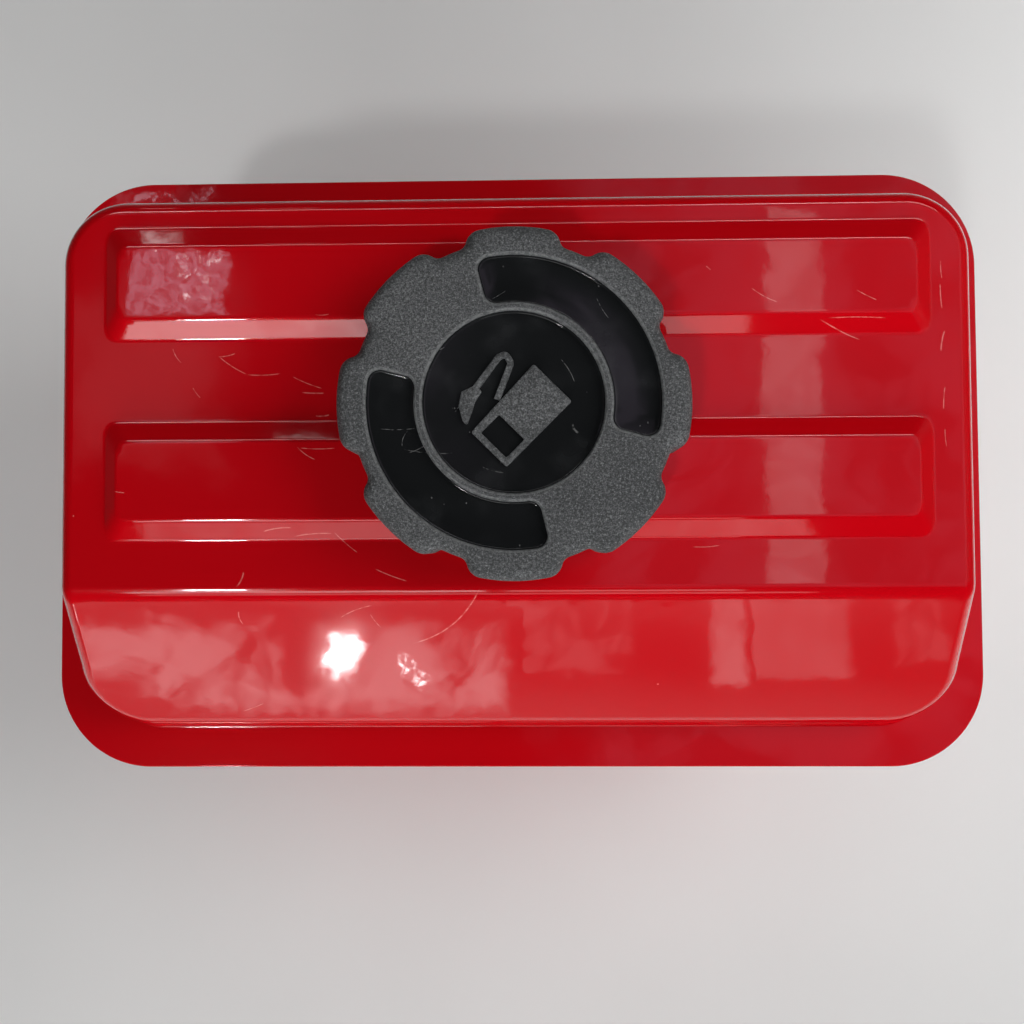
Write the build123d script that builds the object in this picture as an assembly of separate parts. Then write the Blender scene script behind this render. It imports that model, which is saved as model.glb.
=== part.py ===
from build123d import *
import math
import os

os.makedirs("parts", exist_ok=True)

# A pressed-steel fuel tank for a small engine. Millimetres, +Z up, +X along the length, and -Y
# is the front, where the top panel slopes down. The origin is under the middle of the seam
# flange, at the level of the stud tips and the rear foot that the tank stands on.

# ---- Pressed shells -------------------------------------------------------------------------
tank_length = 235.0          # over the seam flange
tank_width = 151.0
flange_corner_r = 23.5
flange_reach = 11.0          # flange edge to the foot of the wall
sheet = 0.8
flange_bend_r = 2.5          # outside radius where the flange turns into the wall
wall_corner_r = 22.0         # plan corner of the wall at the flange

upper_front_corner_r = 17.5  # the upper wall's plan corners at the foot of the slope
upper_height = 42.0          # flange top to top panel
upper_draft = 11.5           # degrees
upper_edge_r = 5.0
slope_angle = 45.0           # degrees, of the sloping front panel
slope_foot_height = 9.0      # flange top to the foot of the slope

lower_depth = 64.0           # seam to the underside of the floor
lower_draft = 4.0            # degrees
lower_edge_r = 12.0
rib_width = 14.0             # two stiffening ribs pressed up into the floor
rib_height = 2.5
rib_spacing = 26.0
rib_centre_y = -2.0
rib_end_margin = 16.5        # wall's left end to the ribs
rib_outlet_margin = 42.0     # ribs to the outlet's axis

# ---- Raised pads on the top panel -----------------------------------------------------------
pad_height = 2.0
pad_slope_run = 4.4          # plan width of a pad's sloped border
pad_corner_r = 6.0           # plan corner at the foot of the border
pad_edge_r = 2.5
pad_end_margin = 9.2         # edge of the top panel to the foot of a pad's end
rear_pad_margin = 6.0        # rear edge of the top panel to the foot of the rear pad
rear_pad_width = 24.6
valley_width = 17.6          # between the feet of the two pads
front_pad_width = 25.7
panel_shift = 0.55           # the pads and the neck sit a little towards +X

# ---- Filler neck and strainer ---------------------------------------------------------------
neck_y = 9.1
seat_r = 32.6                # flat round seat, level with the pads
seat_slope_run = 1.8
neck_sheet = 1.0
neck_r = 28.8                # outside of the upright wall
neck_foot_r = 32.0
neck_rise = 7.5              # seat to the top of the turned-in lip
lip_r = 22.6                 # mouth
lip_notch_r = 26.0           # bayonet notches in the lip
notch_half_angle = 19.0
ledge_r = 21.4               # hole in the top panel, whose rim carries the strainer
neck_bend_r = 1.6

strainer_rim_r = 23.4        # snaps in past the lip
strainer_rim_thick = 1.5
strainer_top_r = 20.6
strainer_foot_r = 17.5
strainer_depth = 42.0
strainer_rib = 1.6
strainer_rib_count = 6
strainer_hoops = 2
mesh_thick = 0.5

# ---- Filler cap -----------------------------------------------------------------------------
cap_r = 35.5
cap_top = 15.0               # seat to the top face
cap_skirt_gap = 2.3          # seat to the bottom of the skirt
cap_wall_r = 30.2            # inside of the skirt
cap_plate = 2.7
grip_count = 8
grip_depth = 2.9
grip_half_angle = 7.2        # degrees
grip_corner_r = 1.2
cap_rim_r = 1.1
disc_recess_r = 18.1
disc_recess_depth = 1.6
arc_recess_inner_r = 19.9
arc_recess_outer_r = 29.3
arc_recess_half_angle = 60.0
arc_recess_depth = 1.3
arc_recess_corner_r = 2.5
mark_height = 0.7            # raised pump mark in the disc

hub_r = 14.0
hub_clearance = 0.08         # running fit in the pressure disc
gasket_r = 29.3
gasket_inner_r = 19.0
gasket_thick = 2.0
disc_thick = 1.0
spring_inner_r = 16.5
spring_outer_r = 24.0
spring_thick = 0.4
spring_dish = 0.8            # height gained from its outer to its inner edge
seal_gap = 0.3               # standing clearance on each side of the seal stack

lug_r = 25.4
lug_half_angle = 15.0
lug_gap = 0.4                # lug to the underside of the lip
bayonet_disc_r = 17.0
bayonet_thick = 1.2

vent_bore_r = 5.5
vent_hole_r = 1.5
foam_thick = 3.0
foam_clearance = 0.2
valve_r = 4.5
valve_thick = 0.8
baffle_r = 13.0
baffle_dome_r = 7.0
baffle_dome_depth = 3.0
baffle_thick = 0.8
screw_pitch_r = 10.0
screw_count = 3
screw_r = 1.4
screw_clearance = 0.05
screw_bite = 5.0             # thread length in the hub
screw_head_r = 2.4
screw_head_height = 1.6

# ---- Outlet ---------------------------------------------------------------------------------
outlet_end_margin = 34.5     # wall's right end to the outlet's axis
outlet_y = 12.0
sump_r = 20.0                # foot of the sump's slope, in the floor
sump_slope_run = 5.0
sump_depth = 3.0
bung_r = 9.0
bung_height = 8.0
shank_r = 5.0                # M10 thread
thread_clearance = 0.05
washer_r = 8.5
washer_thick = 1.0
hex_across_flats = 14.0
hex_height = 6.0
spigot_r = 2.75
spigot_length = 11.0
barb_rise = 0.5
barb_length = 2.0
barb_count = 2
outlet_bore_r = 1.9
screen_r = 4.2
screen_height = 22.0
screen_wall = 0.5
screen_clearance = 0.05
screen_cap_height = 2.0

# ---- Mounting brackets ----------------------------------------------------------------------
plate = 2.0
bracket_drop = 9.0           # floor to the underside of the bracket's pad
stud_reach = 16.0            # below the bracket's pad
stud_r = 3.0                 # M6
stud_head_r = 7.0
stud_head_thick = 1.5
stud_tip_chamfer = 0.8
stud_collar_r = 3.6          # knurl that is pressed into the bracket
stud_hole_clearance = 0.05
stud_end_margin = 44.5       # wall's ends to the studs
stud_front_margin = 30.5     # wall's front to the studs
bracket_width = 24.0
bracket_pad = 20.0
bracket_leg_run = 4.0
bracket_tab = 12.0
bracket_bend_r = 3.0
rear_bracket_width = 36.0
rear_bracket_margin = 30.5   # wall's back to the middle of the welded tab
rear_tab = 20.0
rear_foot = 22.0
rear_leg_run = 5.0
rear_hole_r = 3.5
rear_corner_r = 8.0

# ---- Levels and places worked out from the sizes above --------------------------------------
floor_z = stud_reach + bracket_drop
seam_z = floor_z + lower_depth
flange_top = seam_z + sheet
panel_z = flange_top + upper_height
seat_z = panel_z + pad_height

wall_length = tank_length - 2 * flange_reach
wall_width = tank_width - 2 * flange_reach
draft_run = upper_height * math.tan(math.radians(upper_draft))
panel_end_x = wall_length / 2 - draft_run
panel_back_y = wall_width / 2 - draft_run
slope_foot_y = -wall_width / 2 + slope_foot_height * math.tan(math.radians(upper_draft))

outlet_x = wall_length / 2 - outlet_end_margin
rib_start_x = -wall_length / 2 + rib_end_margin
rib_length = outlet_x - rib_outlet_margin - rib_start_x
stud_spacing = wall_length - 2 * stud_end_margin
stud_y = -wall_width / 2 + stud_front_margin
rear_bracket_y = wall_width / 2 - rear_bracket_margin

neck_place = Pos(panel_shift, neck_y, seat_z)
lip_top = neck_rise
lip_under = neck_rise - neck_sheet
gasket_z = lip_top + seal_gap
disc_z = gasket_z + gasket_thick
spring_z = disc_z + disc_thick
lug_top = lip_under - lug_gap
plate_under = cap_top - cap_plate
outlet_place = Pos(outlet_x, outlet_y, floor_z - sump_depth)


def rounded_box(length, width, corner_r, height, draft=0.0):
    """A straight or drafted block with rounded plan corners, standing on Z = 0."""
    return extrude(RectangleRounded(length, width, corner_r), amount=height, taper=draft)


def edges_at(solid, level, margin=0.05):
    """The edges that lie whole at one level."""
    return solid.edges().filter_by_position(Axis.Z, level - margin, level + margin)


def ring(outer_r, inner_r, height, base=0.0):
    """A flat ring standing on the given level."""
    return Pos(0, 0, base) * extrude(Circle(outer_r) - Circle(inner_r), amount=height)


def spun(*points):
    """A solid of revolution about Z from (radius, height) points."""
    outline = Polyline(*[(r, 0, z) for r, z in points], close=True)
    return revolve(make_face(outline), Axis.Z)


# ---- The two pressed shells -----------------------------------------------------------------
def pad(width, middle_y, skin):
    """One raised pad with sloping borders, reaching down into the top panel."""
    length = 2 * (panel_end_x - pad_end_margin)
    border = math.degrees(math.atan2(pad_slope_run, pad_height))
    block = rounded_box(length, width, pad_corner_r, pad_height, border)
    block = fillet(edges_at(block, pad_height), pad_edge_r)
    return Pos(panel_shift, middle_y, panel_z - skin) * block


def upper_wall_plan(skin):
    """The foot of the upper wall, whose front corners have a radius of their own."""
    side = skin / math.cos(math.radians(upper_draft))
    plan = Rectangle(wall_length - 2 * side, wall_width - 2 * side)
    plan = fillet(plan.vertices().group_by(Axis.Y)[0], upper_front_corner_r - skin)
    return fillet(plan.vertices().group_by(Axis.Y)[-1], wall_corner_r - skin)


def upper_form(skin):
    """The upper pressing as a full block: skin 0 is its outside, and sheet its inside."""
    height = upper_height - skin
    form = extrude(upper_wall_plan(skin), amount=height, taper=upper_draft)
    over = Pos(0, 0, tank_width) * Box(2 * tank_length, 8 * tank_width, 2 * tank_width)
    slope_depth = skin / math.cos(math.radians(slope_angle))
    over = Pos(0, slope_foot_y, slope_foot_height - slope_depth) * Rot(slope_angle, 0, 0) * over
    form = form - over
    soft = form.edges().filter_by(lambda edge: edge.center().Z > slope_foot_height / 2)
    soft = soft.filter_by(lambda edge: not is_wall_corner(edge))
    form = Pos(0, 0, flange_top) * fillet(soft, upper_edge_r - skin)
    rear_middle = panel_back_y - rear_pad_margin - rear_pad_width / 2
    front_middle = rear_middle - (rear_pad_width + front_pad_width) / 2 - valley_width
    seat_border = math.degrees(math.atan2(seat_slope_run, pad_height))
    seat = extrude(Circle(seat_r + seat_slope_run), amount=pad_height, taper=seat_border)
    form += pad(rear_pad_width, rear_middle, skin)
    form += pad(front_pad_width, front_middle, skin)
    return form + Pos(panel_shift, neck_y, panel_z - skin) * seat


def is_wall_corner(edge):
    """True for a seam that runs up a drafted wall, between its flat and its rounded corner."""
    start, end = edge.start_point(), edge.end_point()
    rise = abs(end.Z - start.Z)
    run = math.hypot(end.X - start.X, end.Y - start.Y)
    return rise > 2 * run


def make_upper_shell():
    """The upper half: a flange, drafted walls and a top panel, all in one thickness of sheet."""
    flange = Pos(0, 0, seam_z) * rounded_box(tank_length, tank_width, flange_corner_r, sheet)
    block = flange + upper_form(0.0)
    foot = edges_at(block, flange_top).filter_by(is_wall_foot)
    block = fillet(foot, flange_bend_r)
    hollow = upper_form(sheet)
    throat = Pos(0, 0, seam_z) * extrude(upper_wall_plan(sheet), amount=sheet)
    hole = neck_place * Cylinder(ledge_r, 4 * pad_height)
    return block - hollow - throat - hole


def is_wall_foot(edge):
    """True for an edge where a wall meets its flange, well inside the flange's outline."""
    box = edge.bounding_box()
    inset = flange_reach / 2
    clear_x = max(-box.min.X, box.max.X) < tank_length / 2 - inset
    clear_y = max(-box.min.Y, box.max.Y) < tank_width / 2 - inset
    return clear_x and clear_y


def lower_form(skin):
    """The lower pressing as a full block, upside down from the seam."""
    side = skin / math.cos(math.radians(lower_draft))
    depth = lower_depth - skin
    form = rounded_box(wall_length - 2 * side, wall_width - 2 * side, wall_corner_r - skin,
                       depth, lower_draft)
    form = fillet(edges_at(form, depth), lower_edge_r - skin)
    return Pos(0, 0, seam_z) * Rot(180, 0, 0) * form


def sump_form(skin):
    """The round sump that the outlet stands in, pressed down out of the floor."""
    border = math.degrees(math.atan2(sump_slope_run, sump_depth))
    dish = extrude(Circle(sump_r), amount=sump_depth, taper=border)
    return Pos(outlet_x, outlet_y, floor_z + skin) * Rot(180, 0, 0) * dish


def floor_ribs(skin):
    """The two ribs pressed up into the floor."""
    border = math.degrees(math.atan2(rib_height, rib_height))
    rib = rounded_box(rib_length, rib_width, rib_width / 2 - sheet, rib_height, border)
    middle_x = rib_start_x + rib_length / 2
    front, back = rib_centre_y - rib_spacing / 2, rib_centre_y + rib_spacing / 2
    return [Pos(middle_x, y, floor_z + skin) * rib for y in (front, back)]


def make_lower_shell():
    """The lower half: a deep pan whose flange meets the upper one at the seam."""
    flange = Pos(0, 0, seam_z - sheet) * rounded_box(tank_length, tank_width, flange_corner_r, sheet)
    block = flange + lower_form(0.0)
    foot = edges_at(block, seam_z - sheet).filter_by(is_wall_foot)
    block = fillet(foot, flange_bend_r) + sump_form(0.0)
    hollow = lower_form(sheet) + sump_form(sheet)
    for rib in floor_ribs(0.0):
        block -= rib
    for rib in floor_ribs(sheet):
        hollow -= rib
    return block - hollow - outlet_place * Cylinder(shank_r + thread_clearance, 4 * sheet)


# ---- Filler neck and strainer ---------------------------------------------------------------
def wedge(radius, half_angle, height, base, turn=0.0):
    """A pie slice about Z, centred on the given direction."""
    reach = 2 * radius
    far = reach * math.tan(math.radians(half_angle))
    slice_face = make_face(Polyline((0, 0), (reach, -far), (reach, far), close=True))
    slab = Pos(0, 0, base) * extrude(slice_face & Circle(radius), amount=height)
    return Rot(0, 0, turn) * slab


def make_filler_neck():
    """A spun collar: a foot brazed to the seat, an upright wall and a lip with two notches."""
    inner = neck_r - neck_sheet
    collar = spun((neck_foot_r, 0), (neck_foot_r, neck_sheet), (neck_r, neck_sheet),
                  (neck_r, neck_rise), (lip_r, neck_rise), (lip_r, lip_under),
                  (inner, lip_under), (inner, 0))
    rim = edges_at(collar, neck_rise).filter_by(lambda edge: edge.radius > lip_notch_r)
    collar = fillet(rim, neck_bend_r - neck_sheet / 2)
    for turn in (0, 180):
        collar -= wedge(lip_notch_r, notch_half_angle, neck_sheet * 2, lip_under - neck_sheet / 2, turn)
    return neck_place * collar


def make_strainer_frame():
    """The moulded basket: a rim, upright ribs, hoops and a bottom plate."""
    top, foot, rib = strainer_top_r, strainer_foot_r, strainer_rib
    wall = spun((top - rib, strainer_rim_thick / 2), (top, strainer_rim_thick / 2), (top, 0),
                (foot, -strainer_depth), (foot - rib, -strainer_depth), (top - rib, 0))
    lattice = Part()
    for k in range(strainer_rib_count):
        slat = Pos(top / 2, 0, -strainer_depth / 2) * Box(top, rib, strainer_depth + rib)
        lattice += Rot(0, 0, 360 * k / strainer_rib_count) * slat
    for k in range(1, strainer_hoops + 1):
        lattice += Pos(0, 0, -strainer_depth * k / (strainer_hoops + 1)) * Cylinder(top, rib)
    frame = (lattice & wall) + ring(strainer_rim_r, top - rib, strainer_rim_thick)
    frame += Pos(0, 0, -strainer_depth - rib) * extrude(Circle(foot), amount=rib)
    return neck_place * frame


def make_strainer_mesh():
    """The fine cup inside the basket's ribs."""
    top, foot = strainer_top_r - strainer_rib, strainer_foot_r - strainer_rib
    mesh = spun((top, strainer_rim_thick / 2), (foot, -strainer_depth), (0, -strainer_depth),
                (0, mesh_thick - strainer_depth), (foot - mesh_thick, mesh_thick - strainer_depth),
                (top - mesh_thick, strainer_rim_thick / 2))
    return neck_place * mesh


# ---- Filler cap -----------------------------------------------------------------------------
def sector(outer_r, inner_r, half_angle, turn=0.0):
    """The plan of a ring's stretch, centred on the given direction."""
    reach = 2 * outer_r
    far = reach * math.tan(math.radians(half_angle))
    pie = make_face(Polyline((0, 0), (reach, -far), (reach, far), close=True))
    return Rot(0, 0, turn) * ((pie & Circle(outer_r)) - Circle(inner_r))


def cap_outline():
    """The cap seen from above: a circle with rounded finger notches between its lobes."""
    outline = Circle(cap_r)
    for k in range(grip_count):
        turn = 360 * (k + 0.5) / grip_count
        outline -= sector(cap_r + grip_depth, cap_r - grip_depth, grip_half_angle, turn)
    return fillet(outline.vertices(), grip_corner_r)


def arc_recess():
    """The plan of one arc-shaped recess, centred on +X."""
    plan = sector(arc_recess_outer_r, arc_recess_inner_r, arc_recess_half_angle)
    return fillet(plan.vertices(), arc_recess_corner_r)


def pump_mark():
    """A plain pump sign, in shares of the recess's radius: a body, a hose and a nozzle."""
    def spots(*shares):
        return [(disc_recess_r * u, disc_recess_r * v) for u, v in shares]

    wide, tall, line = 0.576 * disc_recess_r, 1.04 * disc_recess_r, 0.068 * disc_recess_r
    middle, window_middle = spots((0.17, -0.045), (0.17, -0.345))
    body = Pos(*middle) * RectangleRounded(wide, tall, line / 2)
    window = Pos(*window_middle) * Rectangle(0.7 * wide, tall / 4)
    mark = Rot(0, 0, -45) * (body - window)
    hose = FilletPolyline(*spots((-0.181, -0.09), (0.034, 0.429), (-0.073, 0.559), (-0.418, 0.124)),
                          radius=line)
    nozzle = Polyline(*spots((-0.407, 0.124), (-0.588, 0.136), (-0.621, -0.079), (-0.548, -0.249),
                             (-0.475, -0.113)), close=True)
    return mark + trace(hose, line) + make_face(nozzle)


def make_cap_cover():
    """The moulded cover: lobed skirt, top plate with recesses and a hub for the bayonet plate."""
    body = Pos(0, 0, cap_skirt_gap) * extrude(cap_outline(), amount=cap_top - cap_skirt_gap)
    body = fillet(edges_at(body, cap_top), cap_rim_r)
    body -= Pos(0, 0, cap_skirt_gap) * extrude(Circle(cap_wall_r), amount=plate_under - cap_skirt_gap)
    body -= Pos(0, 0, cap_top - disc_recess_depth) * extrude(Circle(disc_recess_r), amount=cap_plate)
    for turn in (45, 225):
        pocket = extrude(arc_recess(), amount=cap_plate)
        body -= Pos(0, 0, cap_top - arc_recess_depth) * Rot(0, 0, turn) * pocket
    body += Pos(0, 0, cap_top - disc_recess_depth) * extrude(pump_mark(), amount=mark_height)
    hub = ring(hub_r, vent_bore_r, plate_under - lug_top, lug_top)
    for place in PolarLocations(screw_pitch_r, screw_count):
        hub -= Pos(0, 0, lug_top) * place * Cylinder(screw_r + screw_clearance, 2 * screw_bite)
    return neck_place * (body + hub)


def make_cap_gasket():
    """The rubber ring that seals on the lip, outside its notches."""
    return neck_place * ring(gasket_r, gasket_inner_r, gasket_thick, gasket_z)


def make_pressure_disc():
    """The steel disc that presses the gasket and lets the cover turn over it."""
    return neck_place * ring(gasket_r, hub_r + hub_clearance, disc_thick, disc_z)


def make_cap_spring():
    """A dished washer spring between the pressure disc and the cover."""
    low, high = spring_z, spring_z + spring_dish
    washer = spun((spring_outer_r, low), (spring_outer_r, low + spring_thick),
                  (spring_inner_r, high + spring_thick), (spring_inner_r, high))
    return neck_place * washer


def make_bayonet_plate():
    """The steel plate under the hub, whose two lugs turn in under the lip."""
    base = lug_top - bayonet_thick
    body = Pos(0, 0, base) * extrude(Circle(bayonet_disc_r), amount=bayonet_thick)
    for turn in (0, 180):
        body += wedge(lug_r, lug_half_angle, bayonet_thick, base, turn)
    body -= Pos(0, 0, base) * Cylinder(vent_hole_r, 4 * bayonet_thick)
    for place in PolarLocations(screw_pitch_r, screw_count):
        body -= Pos(0, 0, base) * place * Cylinder(screw_r + screw_clearance, 4 * bayonet_thick)
    return neck_place * body


def make_vent_foam():
    """A foam plug in the hub that lets air in and keeps fuel from splashing out."""
    return neck_place * Pos(0, 0, lug_top) * extrude(Circle(vent_bore_r - foam_clearance),
                                                     amount=foam_thick)


def make_vent_valve():
    """A thin rubber disc on top of the foam."""
    return neck_place * Pos(0, 0, lug_top + foam_thick) * extrude(Circle(valve_r), amount=valve_thick)


def make_vent_baffle():
    """A dished plate under the vent hole, held by the same screws as the bayonet plate."""
    top = lug_top - bayonet_thick
    inner = baffle_dome_r - baffle_thick
    dish = spun((inner, top), (baffle_r, top), (baffle_r, top - baffle_thick),
                (baffle_dome_r, top - baffle_thick), (baffle_dome_r, top - baffle_dome_depth),
                (vent_hole_r, top - baffle_dome_depth),
                (vent_hole_r, top - baffle_dome_depth + baffle_thick),
                (inner, top - baffle_dome_depth + baffle_thick))
    for place in PolarLocations(screw_pitch_r, screw_count):
        dish -= Pos(0, 0, top) * place * Cylinder(screw_r + screw_clearance, 4 * baffle_thick)
    return neck_place * dish


def make_cap_screws():
    """Pan-head screws up through the baffle and the bayonet plate into the hub."""
    seat = lug_top - bayonet_thick - baffle_thick
    reach = bayonet_thick + baffle_thick + screw_bite - screw_clearance
    head = extrude(Circle(screw_head_r), amount=-screw_head_height)
    head = fillet(head.edges().sort_by(Axis.Z)[0], screw_head_height / 2)
    head -= Pos(0, 0, -screw_head_height) * Box(screw_head_r, screw_r / 2, screw_head_height)
    head -= Pos(0, 0, -screw_head_height) * Box(screw_r / 2, screw_head_r, screw_head_height)
    screw = head + extrude(Circle(screw_r), amount=reach)
    return [neck_place * Pos(0, 0, seat) * place * screw
            for place in PolarLocations(screw_pitch_r, screw_count)]


# ---- Outlet ---------------------------------------------------------------------------------
def make_outlet_bung():
    """The threaded boss brazed inside the sump."""
    return outlet_place * ring(bung_r, shank_r + thread_clearance, bung_height, sheet)


def make_outlet_washer():
    """The fibre washer under the hexagon."""
    return outlet_place * ring(washer_r, shank_r + thread_clearance, washer_thick, -washer_thick)


def make_outlet_joint():
    """The outlet: a threaded shank, a hexagon and a barbed spigot for the fuel hose."""
    hex_top = -washer_thick
    hex_base = hex_top - hex_height
    flats = RegularPolygon(hex_across_flats / 2, 6, major_radius=False)
    body = Pos(0, 0, hex_base) * extrude(flats, amount=hex_height)
    body += Pos(0, 0, hex_top) * extrude(Circle(shank_r), amount=washer_thick + sheet + bung_height)
    body += Pos(0, 0, hex_base) * extrude(Circle(spigot_r), amount=-spigot_length)
    for k in range(barb_count):
        tip = hex_base - spigot_length + 2 * barb_length * k
        body += spun((0, tip), (spigot_r, tip), (spigot_r + barb_rise, tip + barb_length),
                     (0, tip + barb_length))
    body -= Pos(0, 0, hex_base) * Cylinder(outlet_bore_r, 4 * spigot_length)
    return outlet_place * body


def make_outlet_screen():
    """The fine tube that stands on the bung and keeps dirt out of the outlet."""
    base = sheet + bung_height
    return outlet_place * ring(screen_r, screen_r - screen_wall, screen_height, base)


def make_screen_cap():
    """The cap that closes the screen and stands in its top."""
    base = sheet + bung_height + screen_height
    plug = extrude(Circle(screen_r - screen_wall - screen_clearance), amount=-screen_cap_height)
    lid = extrude(Circle(screen_r), amount=screen_cap_height)
    return outlet_place * Pos(0, 0, base) * (plug + lid)


# ---- Mounting brackets and studs ------------------------------------------------------------
def bent_strip(points, width):
    """A strip of plate bent along a path in the XZ plane, centred on Y = 0."""
    path = FilletPolyline(*points, radius=bracket_bend_r)
    section = Plane.XZ * trace(path, plate)
    return extrude(section, amount=width / 2, both=True)


def make_front_bracket(side):
    """A hat-shaped bracket welded under the floor, holed for its stud."""
    pad_x, tab_x = bracket_pad / 2, bracket_pad / 2 + bracket_leg_run
    high, low = floor_z - plate / 2, floor_z - bracket_drop + plate / 2
    hat = bent_strip([(-tab_x - bracket_tab, high), (-tab_x, high), (-pad_x, low), (pad_x, low),
                      (tab_x, high), (tab_x + bracket_tab, high)], bracket_width)
    hat -= Pos(0, 0, low) * Cylinder(stud_collar_r + stud_hole_clearance, 2 * plate)
    return Pos(side * stud_spacing / 2, stud_y, 0) * hat


def make_mount_studs():
    """The two press-in studs, whose flat heads lie inside the brackets."""
    pad_under = floor_z - bracket_drop
    stud = extrude(Circle(stud_r), amount=pad_under)
    stud = chamfer(stud.edges().sort_by(Axis.Z)[0], stud_tip_chamfer)
    stud += Pos(0, 0, pad_under) * extrude(Circle(stud_collar_r), amount=plate)
    stud += Pos(0, 0, pad_under + plate) * extrude(Circle(stud_head_r), amount=stud_head_thick)
    return [Pos(side * stud_spacing / 2, stud_y, 0) * stud for side in (-1, 1)]


def make_rear_bracket():
    """The rear leg: a tab welded under the floor, a slanting leg and a foot with a bolt hole."""
    tab_end = rear_bracket_y + rear_tab / 2
    foot_start = tab_end + rear_leg_run
    leg = bent_strip([(rear_bracket_y - rear_tab / 2, floor_z - plate / 2),
                      (tab_end, floor_z - plate / 2), (foot_start, plate / 2),
                      (foot_start + rear_foot, plate / 2)], rear_bracket_width)
    leg = Rot(0, 0, 90) * leg
    corners = leg.edges().filter_by(Axis.Z).group_by(Axis.Y)[-1]
    leg = fillet(corners, rear_corner_r)
    return leg - Pos(0, rear_hole_y(), 0) * Cylinder(rear_hole_r, 4 * plate)


def rear_hole_y():
    """Middle of the flat part of the rear foot."""
    return rear_bracket_y + rear_tab / 2 + rear_leg_run + rear_foot / 2


nodes = {
    "upper_shell": make_upper_shell(),
    "lower_shell": make_lower_shell(),
    "filler_neck": make_filler_neck(),
    "strainer_frame": make_strainer_frame(),
    "strainer_mesh": make_strainer_mesh(),
    "cap_cover": make_cap_cover(),
    "cap_gasket": make_cap_gasket(),
    "cap_pressure_disc": make_pressure_disc(),
    "cap_spring": make_cap_spring(),
    "cap_bayonet_plate": make_bayonet_plate(),
    "cap_vent_foam": make_vent_foam(),
    "cap_vent_valve": make_vent_valve(),
    "cap_vent_baffle": make_vent_baffle(),
    "cap_screws": Compound(children=make_cap_screws()),
    "outlet_bung": make_outlet_bung(),
    "outlet_washer": make_outlet_washer(),
    "outlet_joint": make_outlet_joint(),
    "outlet_screen": make_outlet_screen(),
    "outlet_screen_cap": make_screen_cap(),
    "front_bracket_left": make_front_bracket(-1),
    "front_bracket_right": make_front_bracket(1),
    "mount_studs": Compound(children=make_mount_studs()),
    "rear_bracket": make_rear_bracket(),
}
for name, piece in nodes.items():
    export_step(piece, f"parts/{name}.step")
    print(name, piece.is_valid, round(piece.volume, 1), len(piece.solids()))
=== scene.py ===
# %% [markdown]
# # A pressed-steel fuel tank with a moulded filler cap
#
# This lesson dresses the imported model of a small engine's fuel tank: two glossy red steel pressings welded
# at a flange, a charcoal plastic cap, and the fittings below. The frame holds every piece in its place, and
# each cell adds one surface or one finish to it.

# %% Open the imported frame
import math
import bpy
import numpy as np
from mathutils.geometry import delaunay_2d_cdt
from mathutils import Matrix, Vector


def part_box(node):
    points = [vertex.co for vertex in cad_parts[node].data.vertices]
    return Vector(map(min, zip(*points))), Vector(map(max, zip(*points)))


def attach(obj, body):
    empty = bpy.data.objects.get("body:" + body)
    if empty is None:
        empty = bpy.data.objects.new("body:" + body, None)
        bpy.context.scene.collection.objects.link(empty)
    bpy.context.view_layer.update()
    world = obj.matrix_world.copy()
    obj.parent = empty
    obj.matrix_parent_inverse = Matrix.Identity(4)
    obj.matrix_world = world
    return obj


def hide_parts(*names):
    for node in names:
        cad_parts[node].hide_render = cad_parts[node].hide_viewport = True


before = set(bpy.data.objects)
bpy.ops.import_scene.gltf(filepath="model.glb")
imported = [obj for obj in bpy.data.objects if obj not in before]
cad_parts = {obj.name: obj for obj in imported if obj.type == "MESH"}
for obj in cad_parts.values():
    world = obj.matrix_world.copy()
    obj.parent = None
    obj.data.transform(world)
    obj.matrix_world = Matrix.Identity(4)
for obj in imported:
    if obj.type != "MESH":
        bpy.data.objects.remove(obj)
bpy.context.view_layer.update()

# %% [markdown]
# ## Units and small helpers
#
# Shapes are worked out in millimetres, as on a workshop drawing, and become metres only when they are put
# into a mesh. A direction is a row of three numbers with length 1, and a line of points is an array with
# one point in each row, so that a whole loop is moved or turned by one sum.

# %% Millimetres, unit vectors and levels from the frame
MM = 0.001
UP = np.array([0.0, 0.0, 1.0])


def in_mm(node):
    """Lowest and highest corner of a node of the frame, in millimetres."""
    return [np.array(corner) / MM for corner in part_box(node)]


def unit(v):
    """Each row divided by its own length."""
    return v / np.linalg.norm(v, axis=-1, keepdims=True)


def heading(turn):
    """Plan directions of length 1, one for each turn in radians: (cos, sin)."""
    return np.column_stack([np.cos(turn), np.sin(turn)])


def lift(plan, height):
    """Plan points with a height added: (x, y) becomes (x, y, height)."""
    return np.column_stack([plan, np.broadcast_to(height, len(plan))])


shell_low, shell_high = in_mm("upper_shell")
flange_length, flange_width = (shell_high - shell_low)[:2]
sheet = 0.8
seam_z = shell_low[2]
flange_top = seam_z + sheet
floor_z = 25.0
neck_low, neck_high = in_mm("filler_neck")
neck_at = (neck_low + neck_high)[:2] / 2
print("neck at", neck_at.round(2))
print("flange", flange_length.round(1), "x", flange_width.round(1), "at", flange_top.round(1))

# %% [markdown]
# ## Walking round a rounded rectangle
#
# The flange, the wall and the top of a pressing are all rounded rectangles, one inside the other. A walk
# round such a shape has ten stations, the ends of its straights and corners. If every outline is sampled at
# the same places between the stations, point 40 of one loop lies next to point 40 of the next, and the
# surface between two loops is a clean strip of four-sided faces.

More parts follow.
